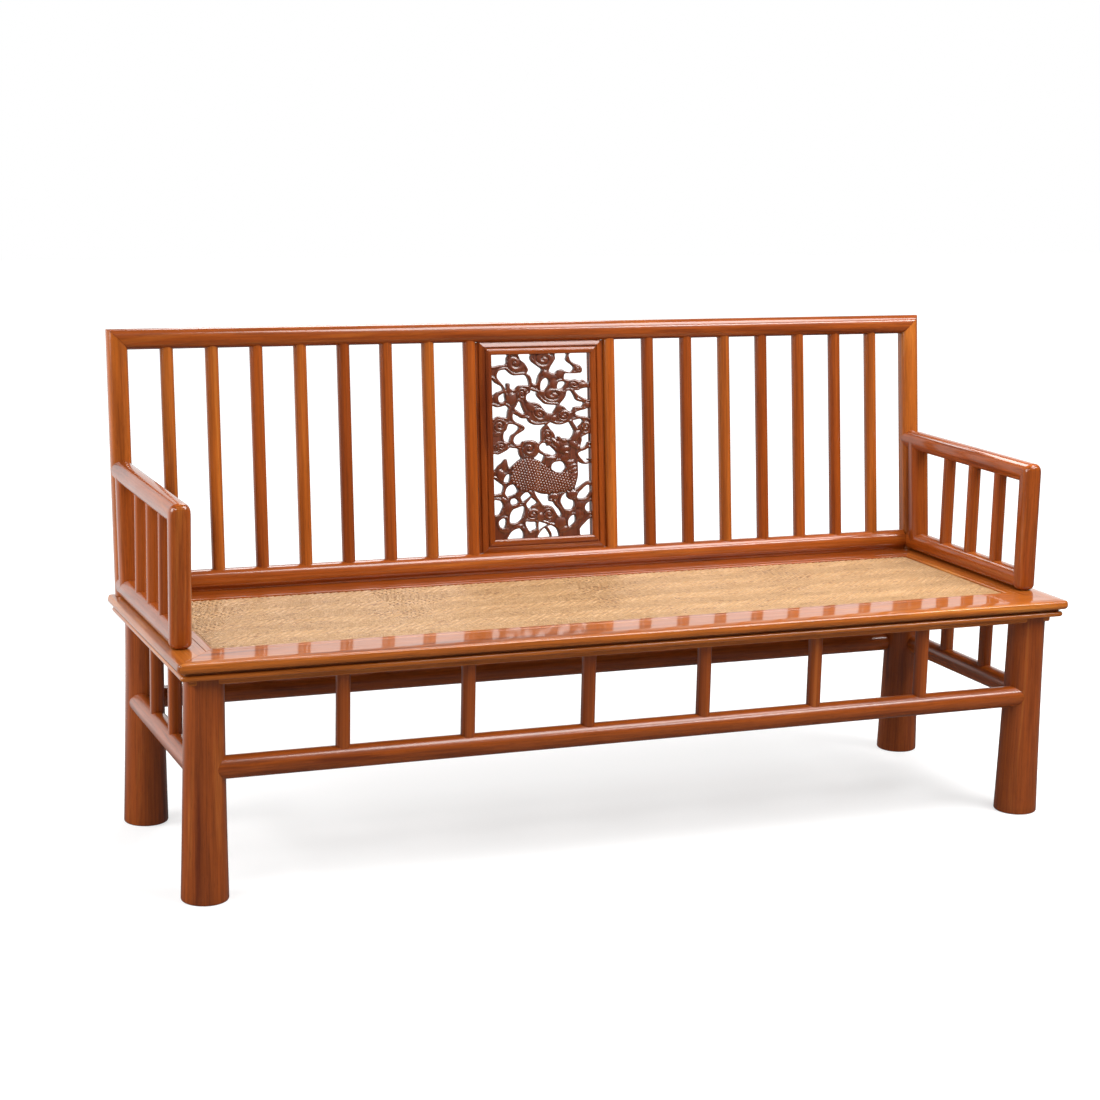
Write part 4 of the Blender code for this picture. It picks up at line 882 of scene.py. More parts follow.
def add_uprights(name, bench, place, values, nodes=(), finish="satin_lacquer", tones=TONES["spindle"]):
    """One row of spindles or struts."""
    material = lacquer(bench, finish)
    defaults = {
        "Darkest": tones[0],
        "Lightest": tones[1],
        "Fullness": 2.0,
        "Rail fullness": bench.back.fullness,
        "Across": (0, 1, 0),
        "Sides": UPRIGHT_SIDES,
        "Seed": zlib.crc32(name.encode()) % 1000,
        "Material": material,
    }
    mesh = grow(name, upright_tree(), {**defaults, **values})
    return add_piece(name, mesh, material, nodes, place)


def arc(centre, radius, first, last, steps):
    """Points of an arc in a section; angles are in degrees from the first axis."""
    points = []
    for k in range(steps + 1):
        angle = math.radians(first + (last - first) * k / steps)
        points.append((centre[0] + radius * math.cos(angle), centre[1] + radius * math.sin(angle)))
    return points


def nose_points(seat, scale):
    """Edge of the seat frame from its nose up to the flat top: distance in, and height."""
    bulge = 0.0012
    support = 0.0008
    low = seat.height - seat.nose_slope
    middle = (bulge + seat.shoulder, low - seat.shoulder)
    shoulder = arc(middle, seat.shoulder, 178, 95, 12)
    points = [
        (0, seat.height - seat.nose_down),
        (0.25 * bulge, (seat.height - seat.nose_down + middle[1]) / 2),
        *shoulder,
        (seat.nose_in - support, seat.height - 0.05 * seat.nose_slope),
        (seat.nose_in, seat.height),
        (seat.nose_in + support, seat.height),
    ]
    return [(inward * scale, z) for inward, z in points]


def nose_fall(seat, inward):
    """How far the top of the seat frame has fallen at this distance from its edge."""
    part = (seat.nose_in - inward) / (seat.nose_in - seat.shoulder)
    return seat.nose_slope * min(max(part, 0), 1)


def rail_section(seat, at, width):
    """Section of a seat rail: distance in from the seat's edge, and height."""
    rebate = seat.strip_inset + seat.strip_width + at.gap
    low = at.frame_bottom - seat.frame_drop
    under = at.edge_bottom + seat.nose_lift
    round_low = 0.004
    line = width - seat.batten
    top = seat.height
    scored = (
        (-0.0022, 0), (-0.0009, 0), (-0.0005, -0.0004), (0, -0.0012),
        (0.0005, -0.0004), (0.0009, 0), (0.0022, 0),
    )
    lip = 0.0020
    return [
        *arc((rebate + round_low, low + round_low), round_low, 270, 180, 4),
        (rebate, at.edge_bottom),
        (at.hollow, at.edge_bottom),
        (at.hollow, under),
        *arc((seat.nose_under, under + seat.nose_under), seat.nose_under, 270, 180, 10),
        *nose_points(seat, width / seat.long_width),
        *((line + across, top + rise) for across, rise in scored),
        (width - 2 * lip, top),
        *arc((width - lip, top - lip), lip, 90, 0, 4),
        (width, at.ledge),
        (width + seat.mat_ledge, at.ledge),
        (width + seat.mat_ledge, low),
    ]


def strip_section(seat, at):
    """Section of the edge strip: a rounded bead below a dark groove."""
    top = at.edge_bottom - at.gap
    shadow = top - seat.strip_shadow
    bottom = at.strip_bottom
    half = (shadow - bottom) / 2
    front = seat.strip_inset
    inside = front + seat.strip_width
    bead = arc((front + half, bottom + half), half, 270, 90, 14)
    return [(inside, bottom), *bead, (at.hollow, shadow), (at.hollow, top), (inside, top)]


def rounded(along, across, radius):
    """Place near a square corner, given by its distances from both sides, with the corner made round."""
    a = radius - along
    b = radius - across
    if a <= 0 or b <= 0:
        return along, across
    pull = max(a, b) / math.hypot(a, b)
    return radius - a * pull, radius - b * pull


def mitred(section, run, depth, ratio, gap, corner, inset=0):
    """Rings of a mitred rail along X whose outer edge is the -Y side of a frame with rounded corners."""
    def ring(end, back):
        points = []
        for inward, z in section:
            along, across = rounded(inward * ratio + gap + back - inset, inward - inset, corner)
            points.append((end * (run / 2 - along - inset), across + inset - depth / 2, z))
        return points

    corner_steps = (0.15, 0.3, 0.5, 0.75, 1.0, 1.5)
    backs = [EASE, *(corner * part for part in corner_steps)]
    left = [ring(-1, back) for back in backs]
    right = [ring(1, back) for back in reversed(backs)]
    return [drawn_in(ring(-1, 0), EASE), *left, *right, drawn_in(ring(1, 0), EASE)]


class BENCH_OT_seat_frame(bpy.types.Operator):
    """Mitred seat frame, stacked edge strips and braces"""
    bl_idname = "bench.seat_frame"
    bl_label = "Seat frame"

    def execute(self, context):
        bench, at = bench_of(context)
        seat = bench.seat
        wood = lacquer(bench)
        strip = strip_section(seat, at)
        long_side = (seat.long_width, seat.length, seat.depth, at.mitre_ratio)
        end_side = (seat.end_width, seat.depth, seat.length, 1 / at.mitre_ratio)
        for side, turn, (width, run, depth, ratio) in four_sides(long_side, end_side):
            place = at.bench @ Matrix.Rotation(turn, 4, "Z")
            section = rail_section(seat, at, width)
            tones = TONES["seat_back" if side == "back" else "seat"]
            rings = mitred(section, run, depth, ratio, at.mitre, seat.corner)
            add_wood("seat_rail_" + side, section, rings, 0, wood, place, tones)
            rings = mitred(strip, run, depth, 1, at.mitre, seat.corner, seat.strip_inset)
            add_wood("edge_strip_" + side, strip, rings, 0, wood, place, tones)
        self.add_braces(bench, at, wood)
        return {"FINISHED"}

    def add_braces(self, bench, at, wood):
        seat = bench.seat
        reach = seat.depth / 2 - seat.long_width - seat.mat_ledge - at.gap
        top = at.ledge - at.gap
        arris = 0.003
        wide = seat.brace_width / 2
        low = -seat.brace_height
        section = [(-wide, 0), (-wide, low + arris), (-wide + arris, low),
                   (wide - arris, low), (wide, low + arris), (wide, 0)]
        pitch = (seat.length - 2 * seat.end_width) / (seat.braces + 1)
        for count, x in enumerate(spread(seat.braces, pitch), 1):
            rings = [[(x + a, y, top + b) for a, b in section] for y in (-reach, reach)]
            add_wood(f"seat_brace_{count}", section, eased(rings), 1, wood, at.bench)


def weave_tree():
    """Twilled cane: arched strands over two neighbours, turned by quarter turns, in a herringbone."""
    nodes, given = new_geometry_tree("cane_weave", (
        ("Columns", "Int"), ("Rows", "Int"), ("Pitch", "Float"), ("Rise", "Float"), ("Turn back", "Int"),
        ("Seed", "Int"), ("Material", "Material"),
    ))
    # One strand where it passes over two others: its length and width in pitches, the rest in rises
    strand_length = 2.10
    strand_width = 0.94
    arch_height = 1.2
    arch_foot = -0.75
    crowns = (0.37, -0.15)
    pitch = given["Pitch"]

    def fall(way, power):
        """From 1 in the middle of the strand to 0 at its border."""
        return nodes.minus(1.0, nodes.power(nodes.absolute(nodes.times(way, 2.0)), power))

    strip = nodes.get("GeometryNodeMeshGrid", 1.0, 1.0, 5, 3)
    x, y, _ = nodes.separate(nodes.get("GeometryNodeInputPosition"))
    along = nodes.times(x, nodes.times(pitch, strand_length))
    side = nodes.times(y, nodes.times(pitch, strand_width))
    arch = fall(x, 3.0)
    crown = nodes.times(fall(y, 2.0), arch)
    bend = nodes.times_plus(arch, arch_height, arch_foot)
    faces = []
    for fullness in crowns:
        lift = nodes.times(nodes.times_plus(crown, fullness, bend), given["Rise"])
        place = nodes.combine(along, side, lift)
        faces.append(nodes.get("GeometryNodeSetPosition", strip, None, place))
    both = nodes.add("GeometryNodeJoinGeometry", faces[0])
    nodes.tree.links.new(nodes.get("GeometryNodeFlipFaces", faces[1]), both.inputs[0])
    strand = nodes.get("GeometryNodeMergeByDistance", both.outputs[0], None, 1e-6)

    # Every second crossing carries a strand, lengthways or crossways in turn
    across = nodes.times(nodes.minus(given["Columns"], 1.0), pitch)
    down = nodes.times(nodes.minus(given["Rows"], 1.0), pitch)
    grid = nodes.get("GeometryNodeMeshGrid", across, down, given["Columns"], given["Rows"])
    index = nodes.get("GeometryNodeInputIndex")
    column = nodes.math("FLOOR", nodes.over(nodes.plus(index, 0.5), given["Rows"]))
    row = nodes.minus(index, nodes.times(column, given["Rows"]))
    folded = nodes.math("PINGPONG", row, given["Turn back"])
    step = nodes.math("FLOORED_MODULO", nodes.plus(column, folded), 4.0)
    lengthways = nodes.math("COMPARE", step, 2.0, 0.1)
    crossways = nodes.math("COMPARE", step, 0.0, 0.1)
    bare = nodes.minus(1.0, nodes.plus(lengthways, crossways))
    half = nodes.times(pitch, 0.5)
    shift = nodes.combine(nodes.times(lengthways, half), nodes.times(crossways, half), 0.0)
    points = nodes.get("GeometryNodeSetPosition", grid, None, None, shift)
    crossing = nodes.store(points, "turn", "FLOAT", nodes.times(crossways, math.pi / 2))
    crossing = nodes.get("GeometryNodeMeshToPoints", crossing, nodes.minus(1.0, bare))
    turn = nodes.combine(0.0, 0.0, nodes.named("turn", "FLOAT"))
    rotation = nodes.get("FunctionNodeEulerToRotation", turn)
    strands = nodes.get("GeometryNodeInstanceOnPoints", crossing, None, strand, None, None, rotation)
    chance = nodes.add("FunctionNodeRandomValue", data_type="FLOAT")
    nodes.give(chance.inputs["Seed"], given["Seed"])
    strands = nodes.store(strands, "tone", "FLOAT", chance.outputs[1], "INSTANCE")
    finish_tree(nodes, strands, given["Material"])
    return nodes.tree


class BENCH_OT_seat_mat(bpy.types.Operator):
    """Woven cane mat"""
    bl_idname = "bench.seat_mat"
    bl_label = "Cane mat"
    lengths = 4

    def execute(self, context):
        bench, at = bench_of(context)
        seat = bench.seat
        straw = cane(bench)
        long = seat.length - 2 * (seat.end_width + seat.mat_play)
        wide = seat.depth - 2 * (seat.long_width + seat.mat_play)
        sheet_top = at.mat_top - 1.6 * seat.strand_rise
        sheet_low = at.mat_top - seat.mat_thickness
        corners = [(x * long / 2, y * wide / 2) for x, y in ((-1, -1), (1, -1), (1, 1), (-1, 1))]
        rings = [[(x, y, z) for x, y in corners] for z in (sheet_low, sheet_top)]
        mesh = loft("seat_mat_look", corners, rings, 2, TONES["mat"])
        add_piece("seat_mat_look", mesh, straw, ("seat_mat",), at.bench)

        columns = int(long / seat.strand / self.lengths)
        rows = int(wide / seat.strand)
        tree = weave_tree()
        for count in range(self.lengths):
            name = f"seat_weave_{count + 1}"
            mesh = grow(name, tree, {
                "Columns": columns, "Rows": rows, "Pitch": seat.strand, "Rise": seat.strand_rise,
                "Turn back": seat.herringbone, "Seed": count, "Material": straw,
            })
            x = (count - (self.lengths - 1) / 2) * columns * seat.strand
            place = at.bench @ Matrix.Translation((x, 0, at.mat_top - seat.strand_rise))
            add_piece(name, mesh, straw, (), place, turned=True)
        return {"FINISHED"}


class BENCH_OT_base(bpy.types.Operator):
    """Round legs, round stretchers and squarish struts"""
    bl_idname = "bench.base"
    bl_label = "Base"

    def execute(self, context):
        bench, at = bench_of(context)
        base = bench.base
        wood = lacquer(bench, "worn_lacquer")
        circle = squircle(1, 2, ROUND_SIDES)
        thick = [(a * base.leg_foot, b * base.leg_foot) for a, b in circle]
        stations = self.leg_stations(base, at)
        for y_name, y in (("front", -at.leg_y), ("back", at.leg_y)):
            for x_name, x in (("left", -at.leg_x), ("right", at.leg_x)):
                rings = [[(x + a * r, y + b * r, z) for a, b in circle] for z, r in stations]
                add_wood(f"leg_{y_name}_{x_name}", thick, rings, 2, wood, at.bench, TONES["leg"])

        section = squircle(base.stretcher, 2, UPRIGHT_SIDES)
        long_row = (base.long_struts, base.long_pitch, at.leg_x, at.leg_y + base.set_out)
        end_row = (base.end_struts, base.end_pitch, at.leg_y, at.leg_x + base.set_out)
        for name, turn, (struts, pitch, reach, offset) in four_sides(long_row, end_row):
            place = at.bench @ Matrix.Rotation(turn, 4, "Z") @ Matrix.Translation((0, -offset, 0))
            ends = []
            for end in (-1, 1):
                ring = []
                for a, b in section:
                    leg = math.sqrt(base.leg_top ** 2 - (a - base.set_out) ** 2)
                    ring.append((end * (reach - leg - at.gap), a, base.stretcher_height + b))
                ends.append(ring)
            add_wood("stretcher_" + name, section, ends, 0, wood, place, TONES["stretcher"])
            add_uprights("struts_" + name, bench, place, {
                "Count": struts, "Pitch": pitch, "Start": -(struts - 1) / 2 * pitch,
                "Half width": base.strut / 2, "Fullness": base.strut_fullness,
                "Foot": base.stretcher_height + base.stretcher,
                "Head": at.frame_bottom - bench.seat.frame_drop,
                "Foot rail": base.stretcher, "Head rail": 1.0, "Rail fullness": 2.0,
            }, finish="worn_lacquer", tones=TONES["strut"])
        return {"FINISHED"}

    def leg_stations(self, base, at):
        """Heights and radii of the flared leg."""
        def radius(z):
            flare = max(1 - z / at.frame_bottom, 0) ** base.leg_flare
            return base.leg_top + (base.leg_foot - base.leg_top) * flare

        stations = [(z, radius(z) - drawn) for z, drawn in rounded_foot(base.foot_round)]
        top = at.strip_bottom - at.gap
        for k in range(1, LEG_STEPS + 1):
            z = base.foot_round + (top - base.foot_round) * k / LEG_STEPS
            stations.append((z, radius(z)))
        return stations


class BENCH_OT_back(bpy.types.Operator):
    """Raked posts, rails and spindles"""
    bl_idname = "bench.back"
    bl_label = "Back"

    def execute(self, context):
        bench, at = bench_of(context)
        back = bench.back
        wood = lacquer(bench, "satin_lacquer")
        section = squircle(at.half, back.fullness, MEMBER_SIDES)
        top_middle = at.top_rail + at.half

        # Top rail and posts, mitred at the upper corners
        inner = at.post_x - at.half - at.mitre
        rings = []
        for end in (-1, 1):
            rings.append([(end * (inner + b + at.half), a, top_middle + b) for a, b in section])
        add_wood("back_top_rail", section, eased(rings), 0, wood, at.rake)
        for name, side in (("left", -1), ("right", 1)):
            x = side * at.post_x
            foot = [(x + a, b, self.seat_level(bench, at, b)) for a, b in section]
            head = [(x + a, b, top_middle + side * a - at.mitre) for a, b in section]
            rings = eased([foot, head])
            add_wood("back_post_" + name, section, rings, 2, wood, at.rake, TONES["back_post"])

        # Bottom rail on the seat, between the posts
        middle = at.bottom_rail - at.half
        underside = -0.9 * at.half
        rings = []
        for end in (-1, 1):
            ring = []
            for a, b in section:
                wrap = falls_back(a, at.half, back.fullness) if a > 0 else 0
                reach = end * (at.post_x - at.half + wrap - at.gap)
                seat = self.seat_level(bench, at, a)
                level_at = seat if b < underside else max(middle + b, seat)
                ring.append((reach, a, level_at))
            rings.append(ring)
        add_wood("back_bottom_rail", section, rings, 0, wood, at.rake)

        first = at.panel_outer + bench.panel.side_play + back.spindle
        free = at.post_x - at.half - first - back.spindle
        pitch = 2 * back.spindle + (free - 2 * back.spindle * (back.spindles - 1)) / back.spindles
        far = first + (back.spindles - 1) * pitch
        for name, start, count_from in (("left", -far, 1), ("right", first, back.spindles + 1)):
            nodes = [f"back_spindle_{count_from + k:02d}" for k in range(back.spindles)]
            add_uprights("back_spindles_" + name, bench, at.rake, {
                "Count": back.spindles, "Pitch": pitch, "Start": start, "Half width": back.spindle,
                "Foot": at.bottom_rail, "Head": at.top_rail, "Foot rail": at.half, "Head rail": at.half,
            }, nodes)
        return {"FINISHED"}

    def seat_level(self, bench, at, depth):
        """Height of the seat along the back's slope, this far behind the back's middle plane."""
        rake = bench.back.rake
        from_edge = bench.back.inset - depth * math.cos(rake)
        return (at.gap - nose_fall(bench.seat, from_edge) + depth * math.sin(rake)) / math.cos(rake)


def panel_frame_section(panel, step, tuck):
    """Section of the panel's frame: distance in from its moulding's outer edge, and depth."""
    band_steps = 6
    bead_steps = 14
    sag = 1.15
    bead_foot = 0.002
    inner_arris = 0.0015
    outer_arris = 0.0012
    face = -panel.frame_thickness / 2
    bead = panel.frame_width - panel.bead
    band = bead - 1.1 * panel.groove
    points = []
    if step:
        points = [(-step, face + panel.step_depth), (-0.0003, face + panel.step_depth)]
    if tuck:
        points = [(-tuck, face + panel.slope * (1 + tuck / band))]
    for k in range(band_steps + 1):
        points.append((band * k / band_steps, face + panel.slope * (1 - k / band_steps) ** sag))
    points += [(band + 0.0008, face + panel.groove), (bead, face + panel.groove)]
    half = panel.bead / 2
    rise = panel.bead_rise + bead_foot
    for k in range(bead_steps + 1):
        angle = math.pi * k / bead_steps
        points.append((bead + half - half * math.cos(angle), face + bead_foot - rise * math.sin(angle)))
    return [
        *points,
        (panel.frame_width, -face - inner_arris),
        (panel.frame_width - inner_arris, -face),
        (outer_arris - step - tuck, -face),
        (-step - tuck, -face - outer_arris),
    ]


class BENCH_OT_panel_frame(bpy.types.Operator):
    """Mitred moulding round the carved panel"""
    bl_idname = "bench.panel_frame"
    bl_label = "Panel frame"

    def execute(self, context):
        bench, at = bench_of(context)
        panel = bench.panel
        wood = lacquer(bench, "satin_lacquer")
        width = 2 * at.panel_outer
        height = at.panel_high - at.panel_low + 2 * panel.frame_width
        for name, turn, run, depth, tuck, step in (
            ("top", math.pi, width, height, panel.tuck, 0),
            ("bottom", 0, width, height, panel.tuck, 0),
            ("left", math.pi / 2, height, width, 0, panel.step),
            ("right", -math.pi / 2, height, width, 0, panel.step),
        ):
            section = panel_frame_section(panel, step, tuck)
            rings = []
            for end in (-1, 1):
                ring = []
                for inward, y in section:
                    along = run / 2 - max(inward, 0) - at.mitre
                    ring.append((end * along, y, inward - depth / 2))
                rings.append(ring)
            place = at.panel @ Matrix.Rotation(turn, 4, "Y")
            add_wood("panel_frame_" + name, section, rings, 0, wood, place, TONES["panel_frame"])
        return {"FINISHED"}


def smooth_path(points, spacing):
    """Even points along a closed Catmull-Rom curve through the given points."""
    count = len(points)
    path = []
    for k in range(count):
        before, start, end, after = (points[(k + n) % count] for n in (-1, 0, 1, 2))
        steps = max(round((end - start).length / spacing), 2)
        for step in range(steps):
            t = step / steps
            bend = (2 * before - 5 * start + 4 * end - after) * t * t
            twist = (3 * start - before - 3 * end + after) * t ** 3
            path.append((2 * start + (end - before) * t + bend + twist) / 2)
    return path


def link_helper(name, data):
    """Object in the scene that isn't a piece of the bench."""
    helper = bpy.data.objects.new(name, data)
    bpy.context.scene.collection.objects.link(helper)
    return helper


def ramp_up(values):
    """Smooth step from 0 to 1 over the values 0 to 1."""
    values = np.clip(values, 0, 1)
    return values * values * (3 - 2 * values)


def quarter_round(values):
    """Quarter circle from 0 to 1 over the values 0 to 1."""
    return np.sqrt(1 - (1 - np.clip(values, 0, 1)) ** 2)


def enclosed(spots, outline):
    """Which of the spots lie inside a closed outline."""
    low = outline.min(axis=0)
    high = outline.max(axis=0)
    near = np.flatnonzero(((spots >= low) & (spots <= high)).all(axis=1))
    x, y = spots[near].T
    odd = np.zeros(len(near), bool)
    for (ax, ay), (bx, by) in zip(outline, np.roll(outline, -1, axis=0)):
        if ay != by:
            odd ^= ((y < ay) != (y < by)) & (x < ax + (y - ay) * (bx - ax) / (by - ay))
    found = np.zeros(len(spots), bool)
    found[near[odd]] = True
    return found


def outwards(outline):
    """Directions square to a closed outline, away from what it encloses."""
    ahead = np.roll(outline, -1, axis=0)
    run = ahead - np.roll(outline, 1, axis=0)
    way = np.sign(np.sum(outline[:, 0] * ahead[:, 1] - outline[:, 1] * ahead[:, 0]))
    out = np.column_stack((run[:, 1], -run[:, 0])) * way
    return out / np.maximum(np.linalg.norm(out, axis=1), 1e-9)[:, None]


def distance_tree(spots):
    tree = kdtree.KDTree(len(spots))
    for k, (x, y) in enumerate(spots):
        tree.insert((x, y, 0), k)
    tree.balance()
    return tree


def distances(tree, spots):
    return np.array([tree.find((x, y, 0))[2] for x, y in spots])


class Board:
    """Carved board: its openings, and the height of the carving at any spot of its face."""

    # How far openings are narrowed, spots keep off the frame, and the body's rounding reaches in
    narrowing = 0.0005
    margin = 0.0004
    body_round = 0.024
    # Shares of the relief: height beside an opening, and height of a mass over its own foot
    ground = 0.34
    swelling = 0.42
    # Painted shade on the beast's body between its scales, and around the foot of a mass
    body_painted_shade = 0.75
    foot_painted_shade = 0.6

    def __init__(self, panel, at):
        high = at.panel_high - at.panel_low
        self.panel = panel
        self.half = np.array((at.panel_half, high / 2))
        self.scale = np.array((panel.opening / panel.drawn_width, high / panel.drawn_height))
        self.openings = [self.narrowed(self.outline(points), self.narrowing) for points in OPENINGS]
        self.body = self.outline(BODY_OUTLINE)
        self.edges = distance_tree(np.concatenate(self.openings))
        self.body_edge = distance_tree(self.body)

    def outline(self, points):
        smooth = smooth_path([Vector(np.array(p) * self.scale) for p in points], self.panel.grain)
        return np.clip(np.array([tuple(p) for p in smooth]), -self.half, self.half)

    def narrowed(self, outline, distance):
        """Opening made narrower, except along the frame."""
        beside_frame = np.abs(outline) > self.half - 1e-6
        return np.where(beside_frame, outline, outline - outwards(outline) * distance)

    def polar(self, spots, u, v, half_u, half_v, tilt):
        """Share of the way from the middle of an oval to its rim, and turns around it."""
        angle = math.radians(tilt)
        x, y = (spots / self.scale - (u, v)).T
        a = (x * math.cos(angle) + y * math.sin(angle)) / half_u
        b = (y * math.cos(angle) - x * math.sin(angle)) / half_v
        return np.hypot(a, b), np.arctan2(b, a) / (2 * math.pi)

    def mass(self, spots, u, v, half_u, half_v, tilt, top):
        """Height of a rounded mass, and the share of the way to its rim."""
        flatness = 2.6
        fullness = 0.55
        part, _ = self.polar(spots, u, v, half_u, half_v, tilt)
        swell = (1 - np.minimum(part, 1) ** flatness) ** fullness
        return np.where(part < 1, top - self.swelling + self.swelling * swell, 0), part

    def ribbons(self, gap, rise):
        """Height and painted shade of plain carving: rounded edges, then a darkened dish, by distance from
        an opening.
        """
        edge_height = 0.48
        dish_depth = 0.16
        dish_painted_shade = 0.5
        lip = self.panel.lip
        dish = ramp_up((gap - 1.3 * lip) / lip)
        floor = ramp_up((gap - 2.4 * lip) / lip)
        return self.ground + edge_height * rise - dish_depth * dish, dish_painted_shade * dish * (1 - floor)

    def spiral(self, spots, rise, u, v, half_u, half_v, tilt, way):
        """Cord wound on a cloud: its height, the painted shade in the groove between its turns, and how
        much of it shows.
        """
        turns = 1.8
        start = 0.2
        eye = 0.18
        foot = 0.50
        cord_height = 0.48
        loss_outwards = 0.2
        edge_height = 0.66
        groove_painted_shade = 0.9
        blend = 0.15
        part, around = self.polar(spots, u, v, half_u, half_v, tilt)
        phase = (turns * part - way * around + start) % 1
        cord = np.maximum(np.sqrt(1 - (2 * phase - 1) ** 2), quarter_round(1 - part / eye))
        height = foot + cord_height * cord * (1 - loss_outwards * part)
        height = np.minimum(height, self.ground + edge_height * rise)
        return height, groove_painted_shade * (1 - cord) ** 1.5, ramp_up((1 - part) / blend)

    def beast(self, spots, rise):
        """Height of the beast's body with its thigh."""
        foot = 0.42
        body_height = 0.50
        edge_height = 0.80
        swell = foot + body_height * quarter_round(distances(self.body_edge, spots) / self.body_round)
        thigh, _ = self.mass(spots, *HAUNCH)
        return np.minimum(np.maximum(swell, thigh), self.ground + edge_height * rise)

    def in_rim(self, spots):
        """Which of the spots lie in the frame's groove."""
        return (np.abs(spots) > self.half).any(axis=1)

    def carve(self, spots):
        """Height of the front above the middle of the board, the painted shade on it, and where scales
        lie.
        """
        gap = distances(self.edges, spots)
        rise = quarter_round(gap / self.panel.lip)
        height, painted_shade = self.ribbons(gap, rise)
        for spiral in SPIRALS:
            wound, wound_painted_shade, kept = self.spiral(spots, rise, *spiral)
            height += kept * (wound - height)
            painted_shade += kept * (wound_painted_shade - painted_shade)
        coat = enclosed(spots, self.body)
        height = np.where(coat, self.beast(spots, rise), height)
        painted_shade = np.where(coat, self.body_painted_shade, painted_shade)
        for mass in MASSES:
            lump, part = self.mass(spots, *mass)
            lump = np.minimum(lump, self.ground + (mass[-1] - self.ground) * rise)
            # Painted shade lies in a band around the foot of the mass, on both sides of its rim
            foot = ramp_up((part - 0.85) / 0.15) * (1 - ramp_up((part - 1) / 0.25))
            painted_shade = np.where(lump > height, 0, painted_shade)
            painted_shade = np.maximum(painted_shade, self.foot_painted_shade * foot)
            height = np.maximum(height, lump)
        rim = self.in_rim(spots)
        height = np.where(rim, self.panel.rim / 2, height * self.panel.front)
        return height, np.where(rim, 0, painted_shade), coat

    def hollow(self, spots):
        """Height of the plain back."""
        rise = quarter_round(distances(self.edges, spots) / self.panel.lip)
        return np.where(
            self.in_rim(spots), -self.panel.rim / 2, -self.panel.back * (0.5 + 0.5 * rise))

    def along_openings(self, distance):
        """Spots in the wood at a distance from the openings."""
        spots = np.concatenate([outline + outwards(outline) * distance for outline in self.openings])
        within = (np.abs(spots) < self.half - self.margin).all(axis=1)
        return spots[within & (distances(self.edges, spots) > 0.93 * distance)]

    def across(self, spacing):
        """Spots in staggered rows over the whole opening."""
        rows = np.arange(-self.half[1] + spacing / 2, self.half[1], spacing * 0.87)
        columns = np.arange(-self.half[0] + spacing / 2, self.half[0], spacing)
        x, y = np.meshgrid(columns, rows)
        x[1::2] += spacing / 2
        spots = np.column_stack((x.ravel(), y.ravel()))
        return spots[spots[:, 0] < self.half[0] - self.margin]

    def frame_lines(self):
        """Spots along the frame on both sides of its inner edge, and the four outer corners."""
        lines = []
        for out in (-self.margin / 2, self.margin):
            reach = self.half + out
            for k in (0, 1):
                line = np.arange(-reach[k], reach[k], self.panel.grain)
                for side in (-1, 1):
                    spots = np.full((len(line), 2), side * reach[1 - k])
                    spots[:, k] = line
                    lines.append(spots)
        return np.concatenate(lines)

    def face(self, spots):
        """Triangles over the wood between the openings, through these spots."""
        outer = self.half + self.panel.rim_tongue
        outlines = [np.array(((-1, -1), (1, -1), (1, 1), (-1, 1))) * outer, *self.openings]
        points = [Vector(p) for outline in outlines for p in outline]
        edges = []
        first = 0
        for outline in outlines:
            count = len(outline)
            edges += [(first + k, first + (k + 1) % count) for k in range(count)]
            first += count
        points += [Vector(p) for p in spots]
        found = geometry.delaunay_2d_cdt(points, edges, [], 0, 1e-6)
        placed = np.array([tuple(p) for p in found[0]])
        triangles = np.array(found[2])
        middles = placed[triangles].mean(axis=1)
        solid = np.ones(len(triangles), bool)
        for opening in self.openings:
            solid &= ~enclosed(middles, opening)
        return placed, triangles[solid]


def open_edges(triangles):
    """Edges that only one of the triangles has."""
    pairs = np.concatenate([triangles[:, (0, 1)], triangles[:, (1, 2)], triangles[:, (2, 0)]])
    _, first, count = np.unique(np.sort(pairs, axis=1), axis=0, return_index=True, return_counts=True)
    return pairs[first[count == 1]]


